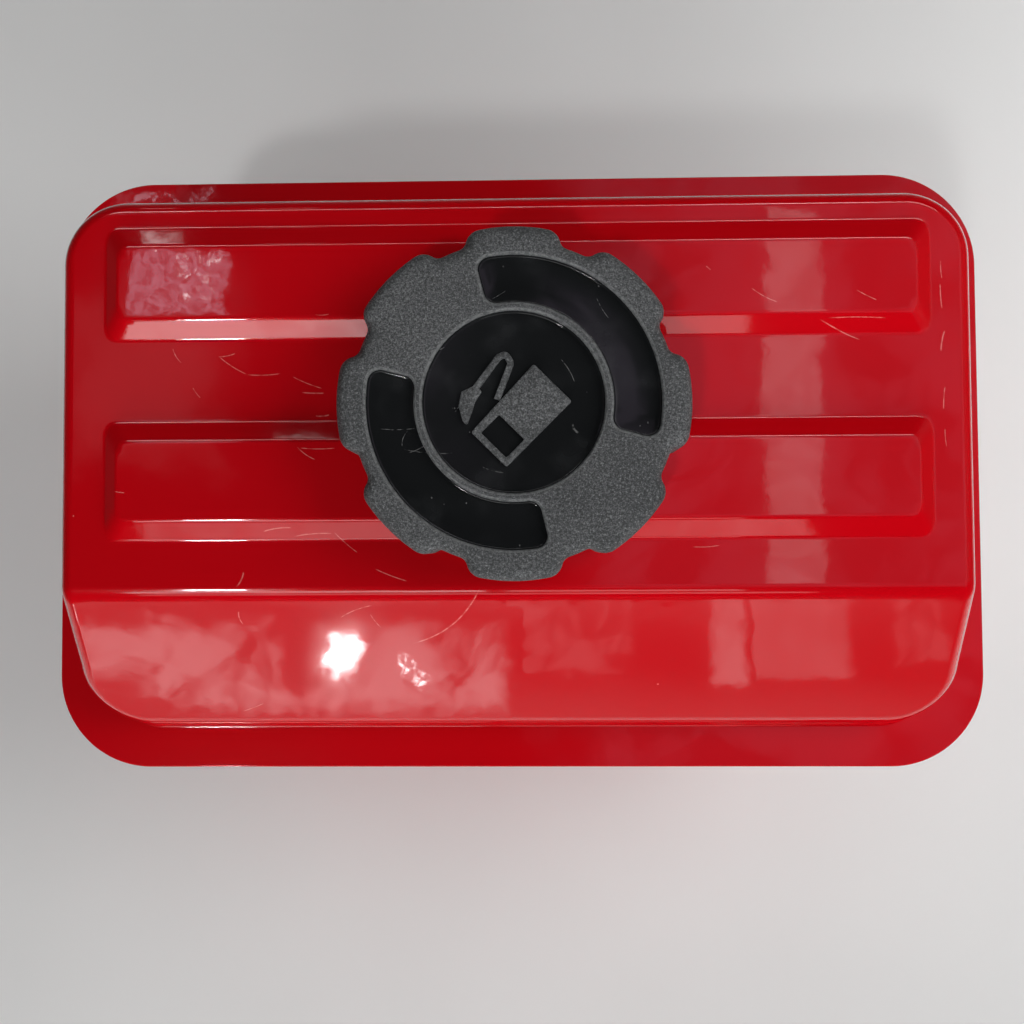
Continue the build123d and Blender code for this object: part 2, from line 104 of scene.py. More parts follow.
# %% A walk round a rounded rectangle
def corner_stations(length, width, corners):
    """Corner centres, radii and turns at the ten stations; corners holds the back and the front radius."""
    back, front = corners
    radius = np.array([back] * 5 + [front] * 4 + [back], float)
    x = (length / 2 - radius) * [1, 1, 1, -1, -1, -1, -1, 1, 1, 1]
    y = (width / 2 - radius) * [0, 1, 1, 1, 1, -1, -1, -1, -1, 0]
    return x, y, radius, np.array([0, 0, 1, 1, 2, 2, 3, 3, 4, 4]) * math.pi / 2


def walk_round(length, width, corners, count):
    """Equal steps round a rounded rectangle, each given as its place among the ten stations."""
    x, y, radius, turn = corner_stations(length, width, corners)
    px, py = x + radius * np.cos(turn), y + radius * np.sin(turn)
    leg = np.where(np.diff(turn) > 0, radius[1:] * np.diff(turn), np.hypot(np.diff(px), np.diff(py)))
    stops = np.concatenate([[0], np.cumsum(leg)])
    return np.interp(np.arange(count) * stops[-1] / count, stops, np.arange(10))


def rounded_outline(length, width, corners, walk):
    """Points and outward normals: a point is its corner's centre plus the radius along its normal."""
    stations = corner_stations(length, width, corners)
    x, y, radius, turn = [np.interp(walk, np.arange(10), row) for row in stations]
    normal = heading(turn)
    return np.column_stack([x, y]) + radius[:, None] * normal, normal


print("four equal steps round a square end at", walk_round(10.0, 10.0, (2.0, 2.0), 4).round(2))


# %% [markdown]
# ## Rounded edges and ramps
#
# Pressed sheet has no sharp edge: the punch and the die are rounded, and the gloss paint shows each of
# those radii as a line of light. So the edges are true arcs. A ball that rolls along an edge touches both
# flats, its centre is one radius from each, and the arc is drawn by turning from one flat's normal to the
# other's. The normals come with the points, and the mesh gets them too: it then shades as the real curve,
# not as its facets.

# %% Arcs between flats
def blend_round(corner, first, second, radius, steps, hollow=False):
    """An arc along an edge: centre = corner - r (n1 + n2) / (1 + n1.n2), point = centre + r n.

    The normal n turns evenly from n1 to n2. A hollow edge has its ball on the open side, so r is negative.
    """
    first, second = np.broadcast_arrays(first, second)
    r = -radius if hollow else radius
    cos = np.sum(first * second, axis=-1, keepdims=True)
    angle = np.arccos(cos)
    centre = corner - r * (first + second) / (1 + cos)
    share = np.linspace(0, 1, steps + 1)[:, None, None]
    normal = (np.sin((1 - share) * angle) * first + np.sin(share * angle) * second) / np.sin(angle)
    return centre + r * normal, normal


def ramp(d, rise, run, foot_r, top_r):
    """Height at a distance d past the foot of a ramp: a straight slope with arcs at its foot and top."""
    angle = math.atan2(rise, run)
    foot, top = foot_r * math.tan(angle / 2), top_r * math.tan(angle / 2)
    low_arc = foot_r - np.sqrt(np.maximum(foot_r**2 - np.maximum(d + foot, 0) ** 2, 0))
    high_arc = rise - top_r + np.sqrt(np.maximum(top_r**2 - np.maximum(run + top - d, 0) ** 2, 0))
    height = np.where(d < foot * math.cos(angle), low_arc, d * math.tan(angle))
    return np.where(d > run - top * math.cos(angle), high_arc, height)


def inside_by(x, y, centre, half, corner):
    """How far a place lies inside a rounded rectangle: positive inside, negative outside."""
    qx = np.abs(x - centre[0]) - (half[0] - corner)
    qy = np.abs(y - centre[1]) - (half[1] - corner)
    return corner - np.hypot(np.maximum(qx, 0), np.maximum(qy, 0)) - np.minimum(np.maximum(qx, qy), 0)


def surface_normal(height, x, y, step=0.02):
    """Unit normal of z = height(x, y): minus its two slopes, and 1 along z."""
    slope_x = (height(x + step, y) - height(x - step, y)) / (2 * step)
    slope_y = (height(x, y + step) - height(x, y - step)) / (2 * step)
    return unit(np.column_stack([-slope_x, -slope_y, np.ones_like(slope_x)]))


print("half way up, a ramp 2 high and 4 long stands at", ramp(2.0, 2.0, 4.0, 1.0, 1.0))


# %% [markdown]
# ## From numbers to a mesh
#
# A piece is a list of points, a list of faces and a normal for each point. `strips` joins neighbouring
# loops, and `triangles` fills a flat region between loops by Delaunay's rule, which keeps the triangles as
# fat as it can; the ones outside the region are dropped afterwards.

# %% Joining loops, filling fields and making pieces
sharp_angle = math.radians(40)


def strips(first, rows, count):
    """Faces between neighbouring loops: point t of loop i, the next point, and the two of loop i + 1."""
    i, t = np.meshgrid(np.arange(rows - 1), np.arange(count), indexing="ij")
    after = (t + 1) % count
    low, high = first + i * count, first + (i + 1) * count
    return np.stack([low + t, low + after, high + after, high + t], axis=-1).reshape(-1, 4)


def within(points, loop):
    """True where a ray to the right crosses the loop an odd number of times."""
    x, y = points[:, 0, None], points[:, 1, None]
    ax, ay = loop.T
    bx, by = np.roll(loop, -1, axis=0).T
    spans = (ay > y) != (by > y)
    cross_x = ax + (y - ay) * (bx - ax) / np.where(by == ay, 1e-9, by - ay)
    return np.sum(spans & (x < cross_x), axis=1) % 2 == 1


def triangles(loops, inner=()):
    """Fills the region inside the first loop and outside the others; inner holds loose points."""
    points = np.vstack([*loops, *inner])
    edges, start = [], 0
    for loop in loops:
        ring = start + np.arange(len(loop))
        edges.append(np.column_stack([ring, np.roll(ring, -1)]))
        start += len(loop)
    made = delaunay_2d_cdt(points.tolist(), np.vstack(edges).tolist(), [], 0, 1e-7)
    assert len(made[0]) == len(points), "two points of the field coincide"
    faces = np.array(made[2])
    middle = points[faces].mean(axis=1)
    keep = within(middle, loops[0])
    for loop in loops[1:]:
        keep &= ~within(middle, loop)
    faces = faces[keep]
    side = np.cross(points[faces[:, 1]] - points[faces[:, 0]], points[faces[:, 2]] - points[faces[:, 0]])
    return np.where((side < 0)[:, None], faces[:, ::-1], faces)


def make_piece(name, points, faces, materials, normals=None, groups=None):
    """A mesh object from millimetre points and lists of faces; groups gives each face its material."""
    mesh = bpy.data.meshes.new(name)
    mesh.from_pydata((np.asarray(points) * MM).tolist(), [], faces)
    for material in materials:
        mesh.materials.append(material)
    if groups is not None:
        mesh.polygons.foreach_set("material_index", np.asarray(groups, dtype=np.int32))
    mesh.shade_smooth()
    if normals is None:
        mesh.set_sharp_from_angle(angle=sharp_angle)
    else:
        mesh.normals_split_custom_set_from_vertices(np.asarray(normals).tolist())
    piece = bpy.data.objects.new(name, mesh)
    bpy.context.scene.collection.objects.link(piece)
    print(name, len(mesh.vertices), "points", len(mesh.polygons), "faces")
    return piece


square = np.array([(0, 0), (1, 0), (1, 1), (0, 1)], float)
print("a square is filled by", len(triangles([square])), "triangles")


# %% [markdown]
# ## Nodes for the finishes
#
# Each finish is a small network: noise and cell patterns on Object coordinates, which are metres on the
# piece itself, steer colour, roughness and bump. A helper keeps the wiring short: it makes a node, sets its
# fixed sockets and links the others.

# %% A short way to wire a material
def finish_named(name):
    """An empty node material with its shader and output, ready to be wired."""
    material = bpy.data.materials.new(name)
    material.use_nodes = True
    print("finish", name)
    return material, material.node_tree


def plug(tree, value, socket):
    """Links a socket to the one that steers it, or sets it where the value is a plain one."""
    if isinstance(value, bpy.types.NodeSocket):
        tree.links.new(value, socket)
    else:
        socket.default_value = value


def wire(tree, kind, settings=None, **sockets):
    """A node of one kind: settings are its own properties, and the sockets take numbers or other sockets.

    A socket goes by its name, with _ for a space, or by its place as i0 or i1.
    """
    node = tree.nodes.new("ShaderNode" + kind)
    for key, value in (settings or {}).items():
        setattr(node, key, value)
    for key, value in sockets.items():
        plug(tree, value, node.inputs[int(key[1:]) if key in ("i0", "i1") else key.replace("_", " ")])
    return node


def noise(tree, where, scale, detail=2.0, rough=0.5, distortion=0.0):
    """Smooth noise from 0 to 1, where scale is the number of its waves in a metre."""
    node = wire(tree, "TexNoise", Vector=where, Scale=scale, Detail=detail, Roughness=rough,
                Distortion=distortion)
    return node.outputs["Fac"]


def between(tree, value, low, high, to_low=0.0, to_high=1.0):
    """Carries a value smoothly from one range to another, held at both ends."""
    node = wire(tree, "MapRange", {"interpolation_type": "SMOOTHSTEP"}, Value=value, From_Min=low,
                From_Max=high, To_Min=to_low, To_Max=to_high)
    return node.outputs["Result"]


def maths(tree, operation, a, b=0.0):
    """One sum on two numbers or sockets."""
    return wire(tree, "Math", {"operation": operation}, i0=a, i1=b).outputs[0]


def tint(tree, share, first, second):
    """A colour between two others."""
    node = wire(tree, "Mix", {"data_type": "RGBA"})
    for place, value in ((0, share), (6, first), (7, second)):
        plug(tree, (*value, 1.0) if isinstance(value, tuple) else value, node.inputs[place])
    return node.outputs[2]


def bumps(tree, height, distance, strength=1.0, below=None):
    """A bump whose height socket is measured in the given distance, in metres, on top of another bump."""
    node = wire(tree, "Bump", Height=height, Distance=distance, Strength=strength)
    if below is not None:
        tree.links.new(below, node.inputs["Normal"])
    return node.outputs["Normal"]


def on_piece(tree, scale=(1, 1, 1)):
    """Object coordinates, stretched along x, y and z."""
    spot = wire(tree, "TexCoord").outputs["Object"]
    return wire(tree, "Mapping", Vector=spot, Scale=scale).outputs["Vector"]


def dress(tree, colour, roughness, normal):
    """Leads a colour, a roughness and a normal into the material's shader, and returns the shader."""
    shader = tree.nodes["Principled BSDF"]
    for name, value in (("Base Color", colour), ("Roughness", roughness), ("Normal", normal)):
        tree.links.new(value, shader.inputs[name])
    return shader


# %% [markdown]
# ## Baked red paint
#
# The tank is sprayed and baked: a deep red enamel under its own clear gloss. Three things keep it from
# looking like plastic. The skin has an orange peel of about a millimetre, the pressing beneath it is
# slightly wavy over a few centimetres, so that reflections break into soft patches, and handling has left
# hair-fine scratches and a few specks of dust, which are paler than the paint.

# %% Single scratches
def scratch_group():
    """A node group for one scratch: 1 on the curve v = bend u^2 for u from -1 to 1, and 0 away from it."""
    tree = bpy.data.node_groups.new("one scratch", "ShaderNodeTree")
    for name, way, kind in (("Vector", "INPUT", "Vector"), ("Bend", "INPUT", "Float"),
                            ("Width", "INPUT", "Float"), ("Mask", "OUTPUT", "Float")):
        tree.interface.new_socket(name, in_out=way, socket_type="NodeSocket" + kind)
    given, result = tree.nodes.new("NodeGroupInput"), tree.nodes.new("NodeGroupOutput")
    place = wire(tree, "SeparateXYZ", Vector=given.outputs["Vector"])
    u, v = place.outputs["X"], place.outputs["Y"]
    curve = maths(tree, "MULTIPLY", given.outputs["Bend"], maths(tree, "MULTIPLY", u, u))
    aside = maths(tree, "SUBTRACT", v, curve)
    thin = maths(tree, "DIVIDE", maths(tree, "ABSOLUTE", aside), given.outputs["Width"])
    line = between(tree, thin, 1.0, 0.35)
    ends = between(tree, maths(tree, "ABSOLUTE", u), 1.0, 0.75)
    tree.links.new(maths(tree, "MULTIPLY", line, ends), result.inputs["Mask"])
    return tree


one_scratch = scratch_group()


def scratches(tree, marks):
    """The strongest of several scratches, each (x, y, end x, end y, bend, width) in millimetres."""
    place = wire(tree, "TexCoord").outputs["Object"]
    total = 0.0
    for x0, y0, x1, y1, bend, width in marks:
        middle, half = ((x0 + x1) / 2, (y0 + y1) / 2), math.hypot(x1 - x0, y1 - y0) / 2
        turn = math.atan2(y1 - y0, x1 - x0)
        frame_of = wire(tree, "Mapping", {"vector_type": "TEXTURE"}, Vector=place,
                        Location=(middle[0] * MM, middle[1] * MM, 0), Rotation=(0, 0, turn),
                        Scale=(half * MM, half * MM, 1))
        mark = wire(tree, "Group", {"node_tree": one_scratch}, Vector=frame_of.outputs["Vector"],
                    Bend=bend / half, Width=width / half)
        total = maths(tree, "MAXIMUM", mark.outputs["Mask"], total)
    return total


paint_marks = [
    (-63.6, 21.6, -59.8, 22.3, 0.2, 0.13), (-63.6, 21.6, -57.4, 17.6, 0.3, 0.13),
    (-57.4, 17.6, -49.9, 17.8, 0.25, 0.13), (-47.6, 17.2, -41.0, 14.5, 0.2, 0.12),
    (-45.6, 13.8, -40.5, 13.6, 0.1, 0.16), (-73.8, 23.6, -71.8, 20.3, 0.3, 0.12),
    (-42.2, 30.1, -39.0, 30.2, 0.2, 0.13), (-46.2, 1.8, -42.2, -1.1, 0.3, 0.13),
    (-45.4, 1.5, -37.7, 1.4, 0.2, 0.12), (-53.6, -15.8, -47.2, -15.0, -0.3, 0.16),
    (-47.2, -16.9, -38.5, -16.3, -0.3, 0.15), (-38.5, -16.3, -33.4, -20.9, 0.2, 0.13),
    (-69.2, 15.1, -67.5, 12.8, 0.1, 0.12), (-85.2, -7.4, -82.9, -7.7, 0.1, 0.13),
    (-42.5, 8.6, -39.4, 8.8, 0.2, 0.2), (65.2, 28.2, 74.2, 23.9, 0.15, 0.16),
    (72.8, 34.3, 77.2, 32.0, 0.1, 0.14), (50.6, 34.8, 56.3, 31.6, 0.3, 0.13),
    (66.9, 28.7, 79.4, 28.6, -0.2, 0.11), (41.3, 39.8, 42.3, 38.9, 0.0, 0.14),
    (-59.3, -28.2, -57.6, -24.8, 0.35, 0.2), (-29.7, -24.3, -22.7, -27.0, 0.15, 0.14),
    (-5.6, -30.1, -21.6, -43.1, -2.4, 0.2), (-38.3, -34.6, -30.6, -31.7, -0.4, 0.14),
    (-60.4, -33.3, -60.3, -36.5, 0.4, 0.16), (-66.7, -59.4, -60.9, -57.1, 0.1, 0.13),
    (-31.6, -34.1, -29.6, -37.5, 0.2, 0.15), (91.4, 41.0, 91.6, 37.0, 0.1, 0.12),
    (91.2, 36.0, 91.5, 30.5, 0.1, 0.16), (91.9, 26.0, 91.0, 21.4, 0.2, 0.2),
    (91.8, 14.0, 91.4, 9.0, 0.1, 0.14), (91.6, 5.0, 91.9, 1.0, 0.1, 0.12),
    (38.0, -20.0, 44.0, -19.7, 0.2, 0.09),
]
print("scratches on the paint:", len(paint_marks))

# %% [markdown]
# The rest of the enamel is a Principled shader in two layers. The coat is the clear top with a sharp mirror
# image; the base below it has a weak and slightly broader gloss, which gives lamps their faint halo. Both
# follow the same waves: a few centimetres from the pressing, about a centimetre from the hand polish, and a
# millimetre of orange peel, which frays the edges of every reflection. The scratches are kept to the part
# above the flange by its height, because the lower half wears the same paint.

# %% Red enamel
def make_red_paint():
    """Red enamel: colour and roughness follow the scratches and dust, and both layers follow the waves."""
    material, tree = finish_named("baked_red_enamel")
    place = on_piece(tree)
    height = wire(tree, "SeparateXYZ", Vector=place).outputs["Z"]
    above_flange = between(tree, height, (flange_top + 0.7) * MM, (flange_top + 2.2) * MM)
    broken = between(tree, noise(tree, place, 900.0, 1.0), 0.3, 0.6, 0.35, 1.0)
    scratch = maths(tree, "MULTIPLY", scratches(tree, paint_marks), above_flange)
    scratch = maths(tree, "MULTIPLY", scratch, broken)
    cells = wire(tree, "TexVoronoi", Vector=place, Scale=150.0, Randomness=1.0)
    speck = maths(tree, "MULTIPLY", between(tree, cells.outputs["Distance"], 0.045, 0.025),
                  between(tree, noise(tree, place, 60.0, 1.0), 0.60, 0.64))
    worn = maths(tree, "MAXIMUM", maths(tree, "MULTIPLY", scratch, 0.5), maths(tree, "MULTIPLY", speck, 0.8))
    red = tint(tree, noise(tree, place, 14.0, 2.0), (0.465, 0.0003, 0.003), (0.51, 0.0009, 0.006))
    wave = bumps(tree, noise(tree, place, 28.0, 1.0, 0.5), 0.00016)
    dimple = bumps(tree, noise(tree, place, 105.0, 1.0, 0.5), 0.00004, below=wave)
    peel = bumps(tree, noise(tree, place, 700.0, 1.0, 0.5), 0.0000026, below=dimple)
    colour = tint(tree, worn, red, (0.85, 0.30, 0.27))
    shader = dress(tree, colour, between(tree, worn, 0.0, 1.0, 0.14, 0.5), peel)
    tree.links.new(peel, shader.inputs["Coat Normal"])
    shader.inputs["Specular IOR Level"].default_value = 0.12
    shader.inputs["Coat Weight"].default_value = 1.0
    shader.inputs["Coat Roughness"].default_value = 0.025
    shader.inputs["Coat IOR"].default_value = 1.5
    return material


red_paint = make_red_paint()

# %% [markdown]
# ## Metals and small parts
#
# Zinc plate, turned brass, bare and spring steel differ in colour and in how their fine marks run, so one
# recipe with a few numbers serves them all: a metal whose colour drifts, with turning lines or rolling
# marks as bump, and smudges that dull it in places.

# %% Metal recipe
def make_metal(name, light, dark, rough, grain, grain_scale):
    """A metal between two colours; grain stretches the fine marks along x, y and z."""
    material, tree = finish_named(name)
    marks = noise(tree, on_piece(tree, grain), grain_scale, 3.0, 0.6)
    smudge = noise(tree, on_piece(tree), 90.0, 3.0, 0.6)
    colour = tint(tree, between(tree, smudge, 0.35, 0.7), light, dark)
    dull = maths(tree, "ADD", between(tree, smudge, 0.3, 0.75, rough, rough + 0.22),
                 between(tree, marks, 0.3, 0.7, 0.0, 0.08))
    shader = dress(tree, colour, dull, bumps(tree, marks, 0.00002, 0.6))
    shader.inputs["Metallic"].default_value = 1.0
    return material


zinc = make_metal("bright_zinc_plate", (0.66, 0.67, 0.66), (0.45, 0.46, 0.46), 0.26, (1, 1, 1), 900.0)
spring_steel = make_metal("oiled_spring_steel", (0.36, 0.35, 0.34), (0.2, 0.19, 0.19), 0.24, (1, 1, 6), 500.0)
bare_steel = make_metal("rolled_bare_steel", (0.5, 0.49, 0.47), (0.3, 0.29, 0.28), 0.34, (0.2, 1, 1), 700.0)
brass = make_metal("turned_brass", (0.78, 0.6, 0.28), (0.55, 0.38, 0.16), 0.2, (0.15, 0.15, 6), 500.0)

# %% [markdown]
# ## Rubber, fibre, foam, gauze and moulded plastic
#
# The soft and moulded pieces share a second recipe: a plain body colour with a grain of its own size. The
# gauze is woven, so its bump is two crossed waves instead.

# %% Plastic and rubber recipe
def make_moulded(name, light, dark, rough, grain_scale, grain_depth):
    """A non-metal whose colour and bump share one grain; grain_depth is in metres."""
    material, tree = finish_named(name)
    place = on_piece(tree)
    grain = noise(tree, place, grain_scale, 4.0, 0.65)
    colour = tint(tree, between(tree, grain, 0.35, 0.68), light, dark)
    dull = between(tree, noise(tree, place, 120.0, 3.0), 0.3, 0.7, rough - 0.08, rough + 0.1)
    dress(tree, colour, dull, bumps(tree, grain, grain_depth))
    return material


def make_gauze():
    """Woven gauze: two sine waves at right angles, whose product lifts the threads."""
    material, tree = finish_named("woven_strainer_gauze")
    place = on_piece(tree)
    warp = wire(tree, "TexWave", {"bands_direction": "Z"}, Vector=place, Scale=400.0, Distortion=0.4)
    weft = wire(tree, "TexWave", {"bands_direction": "DIAGONAL"}, Vector=place, Scale=400.0, Distortion=0.4)
    weave = maths(tree, "MULTIPLY", warp.outputs["Fac"], weft.outputs["Fac"])
    colour = tint(tree, weave, (0.52, 0.52, 0.48), (0.86, 0.86, 0.82))
    dress(tree, colour, between(tree, weave, 0.0, 1.0, 0.7, 0.45), bumps(tree, weave, 0.0001))
    return material


rubber = make_moulded("seal_rubber", (0.025, 0.025, 0.026), (0.012, 0.012, 0.012), 0.62, 900.0, 0.00003)
fibre = make_moulded("red_fibre", (0.36, 0.1, 0.06), (0.22, 0.05, 0.03), 0.7, 1500.0, 0.00003)
foam = make_moulded("vent_foam", (0.2, 0.2, 0.2), (0.05, 0.05, 0.05), 0.9, 1400.0, 0.0003)
white_plastic = make_moulded("natural_white_plastic", (0.8, 0.79, 0.74), (0.7, 0.69, 0.63), 0.4, 500.0,
                             0.000006)
gauze = make_gauze()

# %% [markdown]
# ## Charcoal cap plastic, spark-eroded and polished
#
# The cap is one moulding, but its mould has two finishes. The top and the grip are spark-eroded: a grain of
# about a quarter of a millimetre that scatters light. Its colour is painted darker in the grain's hollows and
# paler on its tips, a painted shade and painted highlights that show as pale specks. The recesses are
# polished and look black. The lips between the two are smoother where fingers rub them, and their colour is
# painted a little paler, a painted highlight along their rounded edges, so they have a finish of their own,
# and so has the plain inside.

# %% Textured and gloss cap plastic
def make_grained_plastic():
    """Spark-eroded grain: two sizes of noise in the bump, painted shade in its hollows, painted highlights as
    pale specks on its tips, and dust smears.
    """
    material, tree = finish_named("charcoal_spark_grain")
    place = on_piece(tree)
    fine = noise(tree, place, 3200.0, 2.0, 0.7)
    coarse = noise(tree, place, 1700.0, 3.0, 0.65)
    grain = maths(tree, "ADD", maths(tree, "MULTIPLY", fine, 0.55), maths(tree, "MULTIPLY", coarse, 0.45))
    body = tint(tree, between(tree, noise(tree, place, 55.0, 3.0), 0.3, 0.7), (0.05, 0.053, 0.055),
                (0.096, 0.099, 0.102))
    # Painted shade and painted highlight: the colour is darker where the grain is low and paler where it is
    # high.
    body = tint(tree, between(tree, grain, 0.4, 0.55), (0.026, 0.0275, 0.028), body)
    body = tint(tree, between(tree, grain, 0.5, 0.66), body, (0.17, 0.176, 0.178))
    # Painted highlights: pale specks where both grains peak.
    pale = maths(tree, "MULTIPLY", between(tree, fine, 0.6, 0.7), between(tree, coarse, 0.5, 0.62))
    body = tint(tree, maths(tree, "MULTIPLY", pale, 0.3), body, (0.42, 0.43, 0.43))
    dress(tree, body, between(tree, grain, 0.35, 0.7, 0.66, 0.5), bumps(tree, grain, 0.00016))
    return material


cap_marks = [
    (-26.6, -5.4, -18.6, -5.2, 0.3, 0.1), (-22.0, -9.6, -12.0, -10.4, 0.4, 0.1),
    (-21.4, -5.4, -22.6, -8.6, 0.4, 0.09), (-20.8, -10.2, -16.2, -7.8, 0.3, 0.1),
    (-16.8, 9.6, -13.4, 11.2, 0.2, 0.1), (-11.6, -2.0, -9.4, 1.6, 0.2, 0.08),
    (-6.4, -13.0, -2.0, -14.2, 0.2, 0.09), (9.6, 8.8, 12.4, 4.0, -0.3, 0.1),
    (11.4, -4.6, 12.6, -6.4, 0.3, 0.28), (-4.2, 20.6, -1.4, 22.2, 0.1, 0.08),
    (16.4, 20.6, 19.0, 16.2, 0.2, 0.08),
]


def make_gloss_plastic():
    """Polished black with a few fine scratches and flecks of dust."""
    material, tree = finish_named("polished_black_plastic")
    place = on_piece(tree)
    mist = between(tree, noise(tree, place, 110.0, 3.0), 0.45, 0.8)
    marks = [(a + neck_at[0], b + neck_at[1], c + neck_at[0], d + neck_at[1], bend, width)
             for a, b, c, d, bend, width in cap_marks]
    broken = between(tree, noise(tree, place, 1500.0, 1.0), 0.35, 0.6)
    scratch = maths(tree, "MULTIPLY", scratches(tree, marks), broken)
    cells = wire(tree, "TexVoronoi", Vector=place, Scale=520.0, Randomness=1.0)
    fleck = maths(tree, "MULTIPLY", between(tree, cells.outputs["Distance"], 0.1, 0.05),
                  between(tree, noise(tree, place, 150.0, 1.0), 0.58, 0.64))
    worn = maths(tree, "MAXIMUM", maths(tree, "MULTIPLY", scratch, 0.4), maths(tree, "MULTIPLY", fleck, 0.4))
    body = tint(tree, mist, (0.0085, 0.0092, 0.0098), (0.017, 0.018, 0.019))
    dress(tree, tint(tree, worn, body, (0.3, 0.3, 0.3)), between(tree, mist, 0.0, 1.0, 0.07, 0.16),
          bumps(tree, noise(tree, place, 130.0, 2.0), 0.00003))
    return material


cap_grain, cap_gloss = make_grained_plastic(), make_gloss_plastic()
# Painted highlight: the lips' colour is painted paler than the grain, and their finish is smoother.
cap_edge = make_moulded("cap_lip_painted_highlight", (0.15, 0.155, 0.156), (0.045, 0.047, 0.048), 0.45, 1700.0, 0.00006)
cap_inside = make_moulded("cap_inside", (0.03, 0.031, 0.032), (0.018, 0.018, 0.019), 0.42, 700.0, 0.00001)

# %% [markdown]
# ## One recipe for both pressings
#
# Each half of the tank is a sheet pressed over a form: a flat flange, a bend into a drafted wall, a rounded
# crown and a field with its own relief. The loops from the flange's edge to the crown come from the two
# outlines and the arcs between them. The field inside the last loop is a height over the plan, set out on
# lines that lie closest where the relief bends. Last, every point moves inwards by the sheet's thickness
# along its own normal, which gives the inner side of the sheet.

# %% Loops from the flange to the crown
loop_count = 600
edge_round, edge_steps = 0.3, 3
hollow_steps, crown_steps, flat_rows, wall_rows = 6, 9, 3, 7
inset_rounds, front_power, roof_probe = 20, 6, 0.1


def stretch(low, high, rows):
    """Loops evenly set between two loops, without the two."""
    share = np.linspace(0, 1, rows + 2)[1:-1, None, None]
    return low + share * (high - low)


def wall_loops(foot, foot_corners, flange, flange_corners, draft, roof, bend_r, crown_r, front_crown_r):
    """Loops of points and normals; the wall leans in by tan(draft) times its height until it meets the roof.

    The inset and the roof's height over it depend on each other, so they are found together, round by round.
    The crown's radius is crown_r at the back and sides, and front_crown_r where the wall faces forwards.
    """
    walk = walk_round(*foot, foot_corners, loop_count)
    foot_line, outward = rounded_outline(*foot, foot_corners, walk)
    edge_line, _ = rounded_outline(*flange, flange_corners, walk)
    inset = np.zeros(loop_count)
    for _ in range(inset_rounds):
        sharp = foot_line - outward * inset[:, None]
        inset = roof(*sharp.T) * math.tan(draft)
    wall_n = np.column_stack([outward * math.cos(draft), np.full(loop_count, math.sin(draft))])
    edge, edge_n = blend_round(lift(edge_line, 0), lift(outward, 0), UP, edge_round, edge_steps)
    hollow, hollow_n = blend_round(lift(foot_line, 0), UP, wall_n, bend_r, hollow_steps, hollow=True)
    facing = np.clip(-outward[:, 1:], 0, 1) ** front_power
    roof_n = surface_normal(roof, *(sharp - roof_probe * outward).T)
    crown, crown_n = blend_round(lift(sharp, roof(*sharp.T)), wall_n, roof_n,
                                 crown_r + (front_crown_r - crown_r) * facing, crown_steps)
    flat, wall = stretch(edge[-1], hollow[0], flat_rows), stretch(hollow[-1], crown[0], wall_rows)
    points = np.concatenate([edge, flat, hollow, wall, crown])
    normals = np.concatenate([edge_n, np.broadcast_to(UP, flat.shape), hollow_n,
                              np.broadcast_to(wall_n, wall.shape), crown_n])
    return points, normals


print("a pressing has", loop_count, "points in a loop and", crown_steps + 1, "loops over its crown")

# %% [markdown]
# The field's grid lines are close together over each border and far apart on the flats. Round the hole the
# points sit on circles instead, and the triangles join the two patterns.

# %% Field of a pressing
hole_gap, rim_gap = 0.35, 0.55


def graded(start, end, zones, fine, coarse):
    """Grid lines from start to end, close together inside each zone."""
    stops = [start, *(stop for zone in zones for stop in zone), end]
    parts = []
    for k, (low, high) in enumerate(zip(stops, stops[1:])):
        count = max(1, math.ceil((high - low) / (fine if k % 2 else coarse)))
        parts.append(np.linspace(low, high, count, endpoint=False))
    return np.concatenate([*parts, [end]])


def field_points(rim, lines_x, lines_y, hole_at, radii, round_steps):
    """Circles round the hole, then the grid places inside the rim that keep clear of rim and circles."""
    circle = heading(np.arange(round_steps) * 2 * math.pi / round_steps)
    circles = [np.asarray(hole_at) + r * circle for r in radii]
    grid = np.stack(np.meshgrid(lines_x, lines_y), axis=-1).reshape(-1, 2)
    grid = grid[np.hypot(*(grid - hole_at).T) > radii[-1] + hole_gap]
    grid = grid[within(grid, rim)]
    gap = np.sqrt(((grid[:, None] - rim[None]) ** 2).sum(-1).min(axis=1))
    return circles, grid[gap > rim_gap]


print("grid lines with one fine zone:", graded(0.0, 10.0, [(4.0, 5.0)], 0.5, 2.0))


# %% [markdown]
# A pressing is a hollow sheet, and its inner side can be seen through the hole. Every point of the outer
# side goes inwards by the sheet's thickness along its normal, the inner faces are wound the other way, and
# two rims close the gap at the flange's edge and round the hole. Only the rounded edge of the flange goes
# straight down, so that the underside of the flange stays flat.

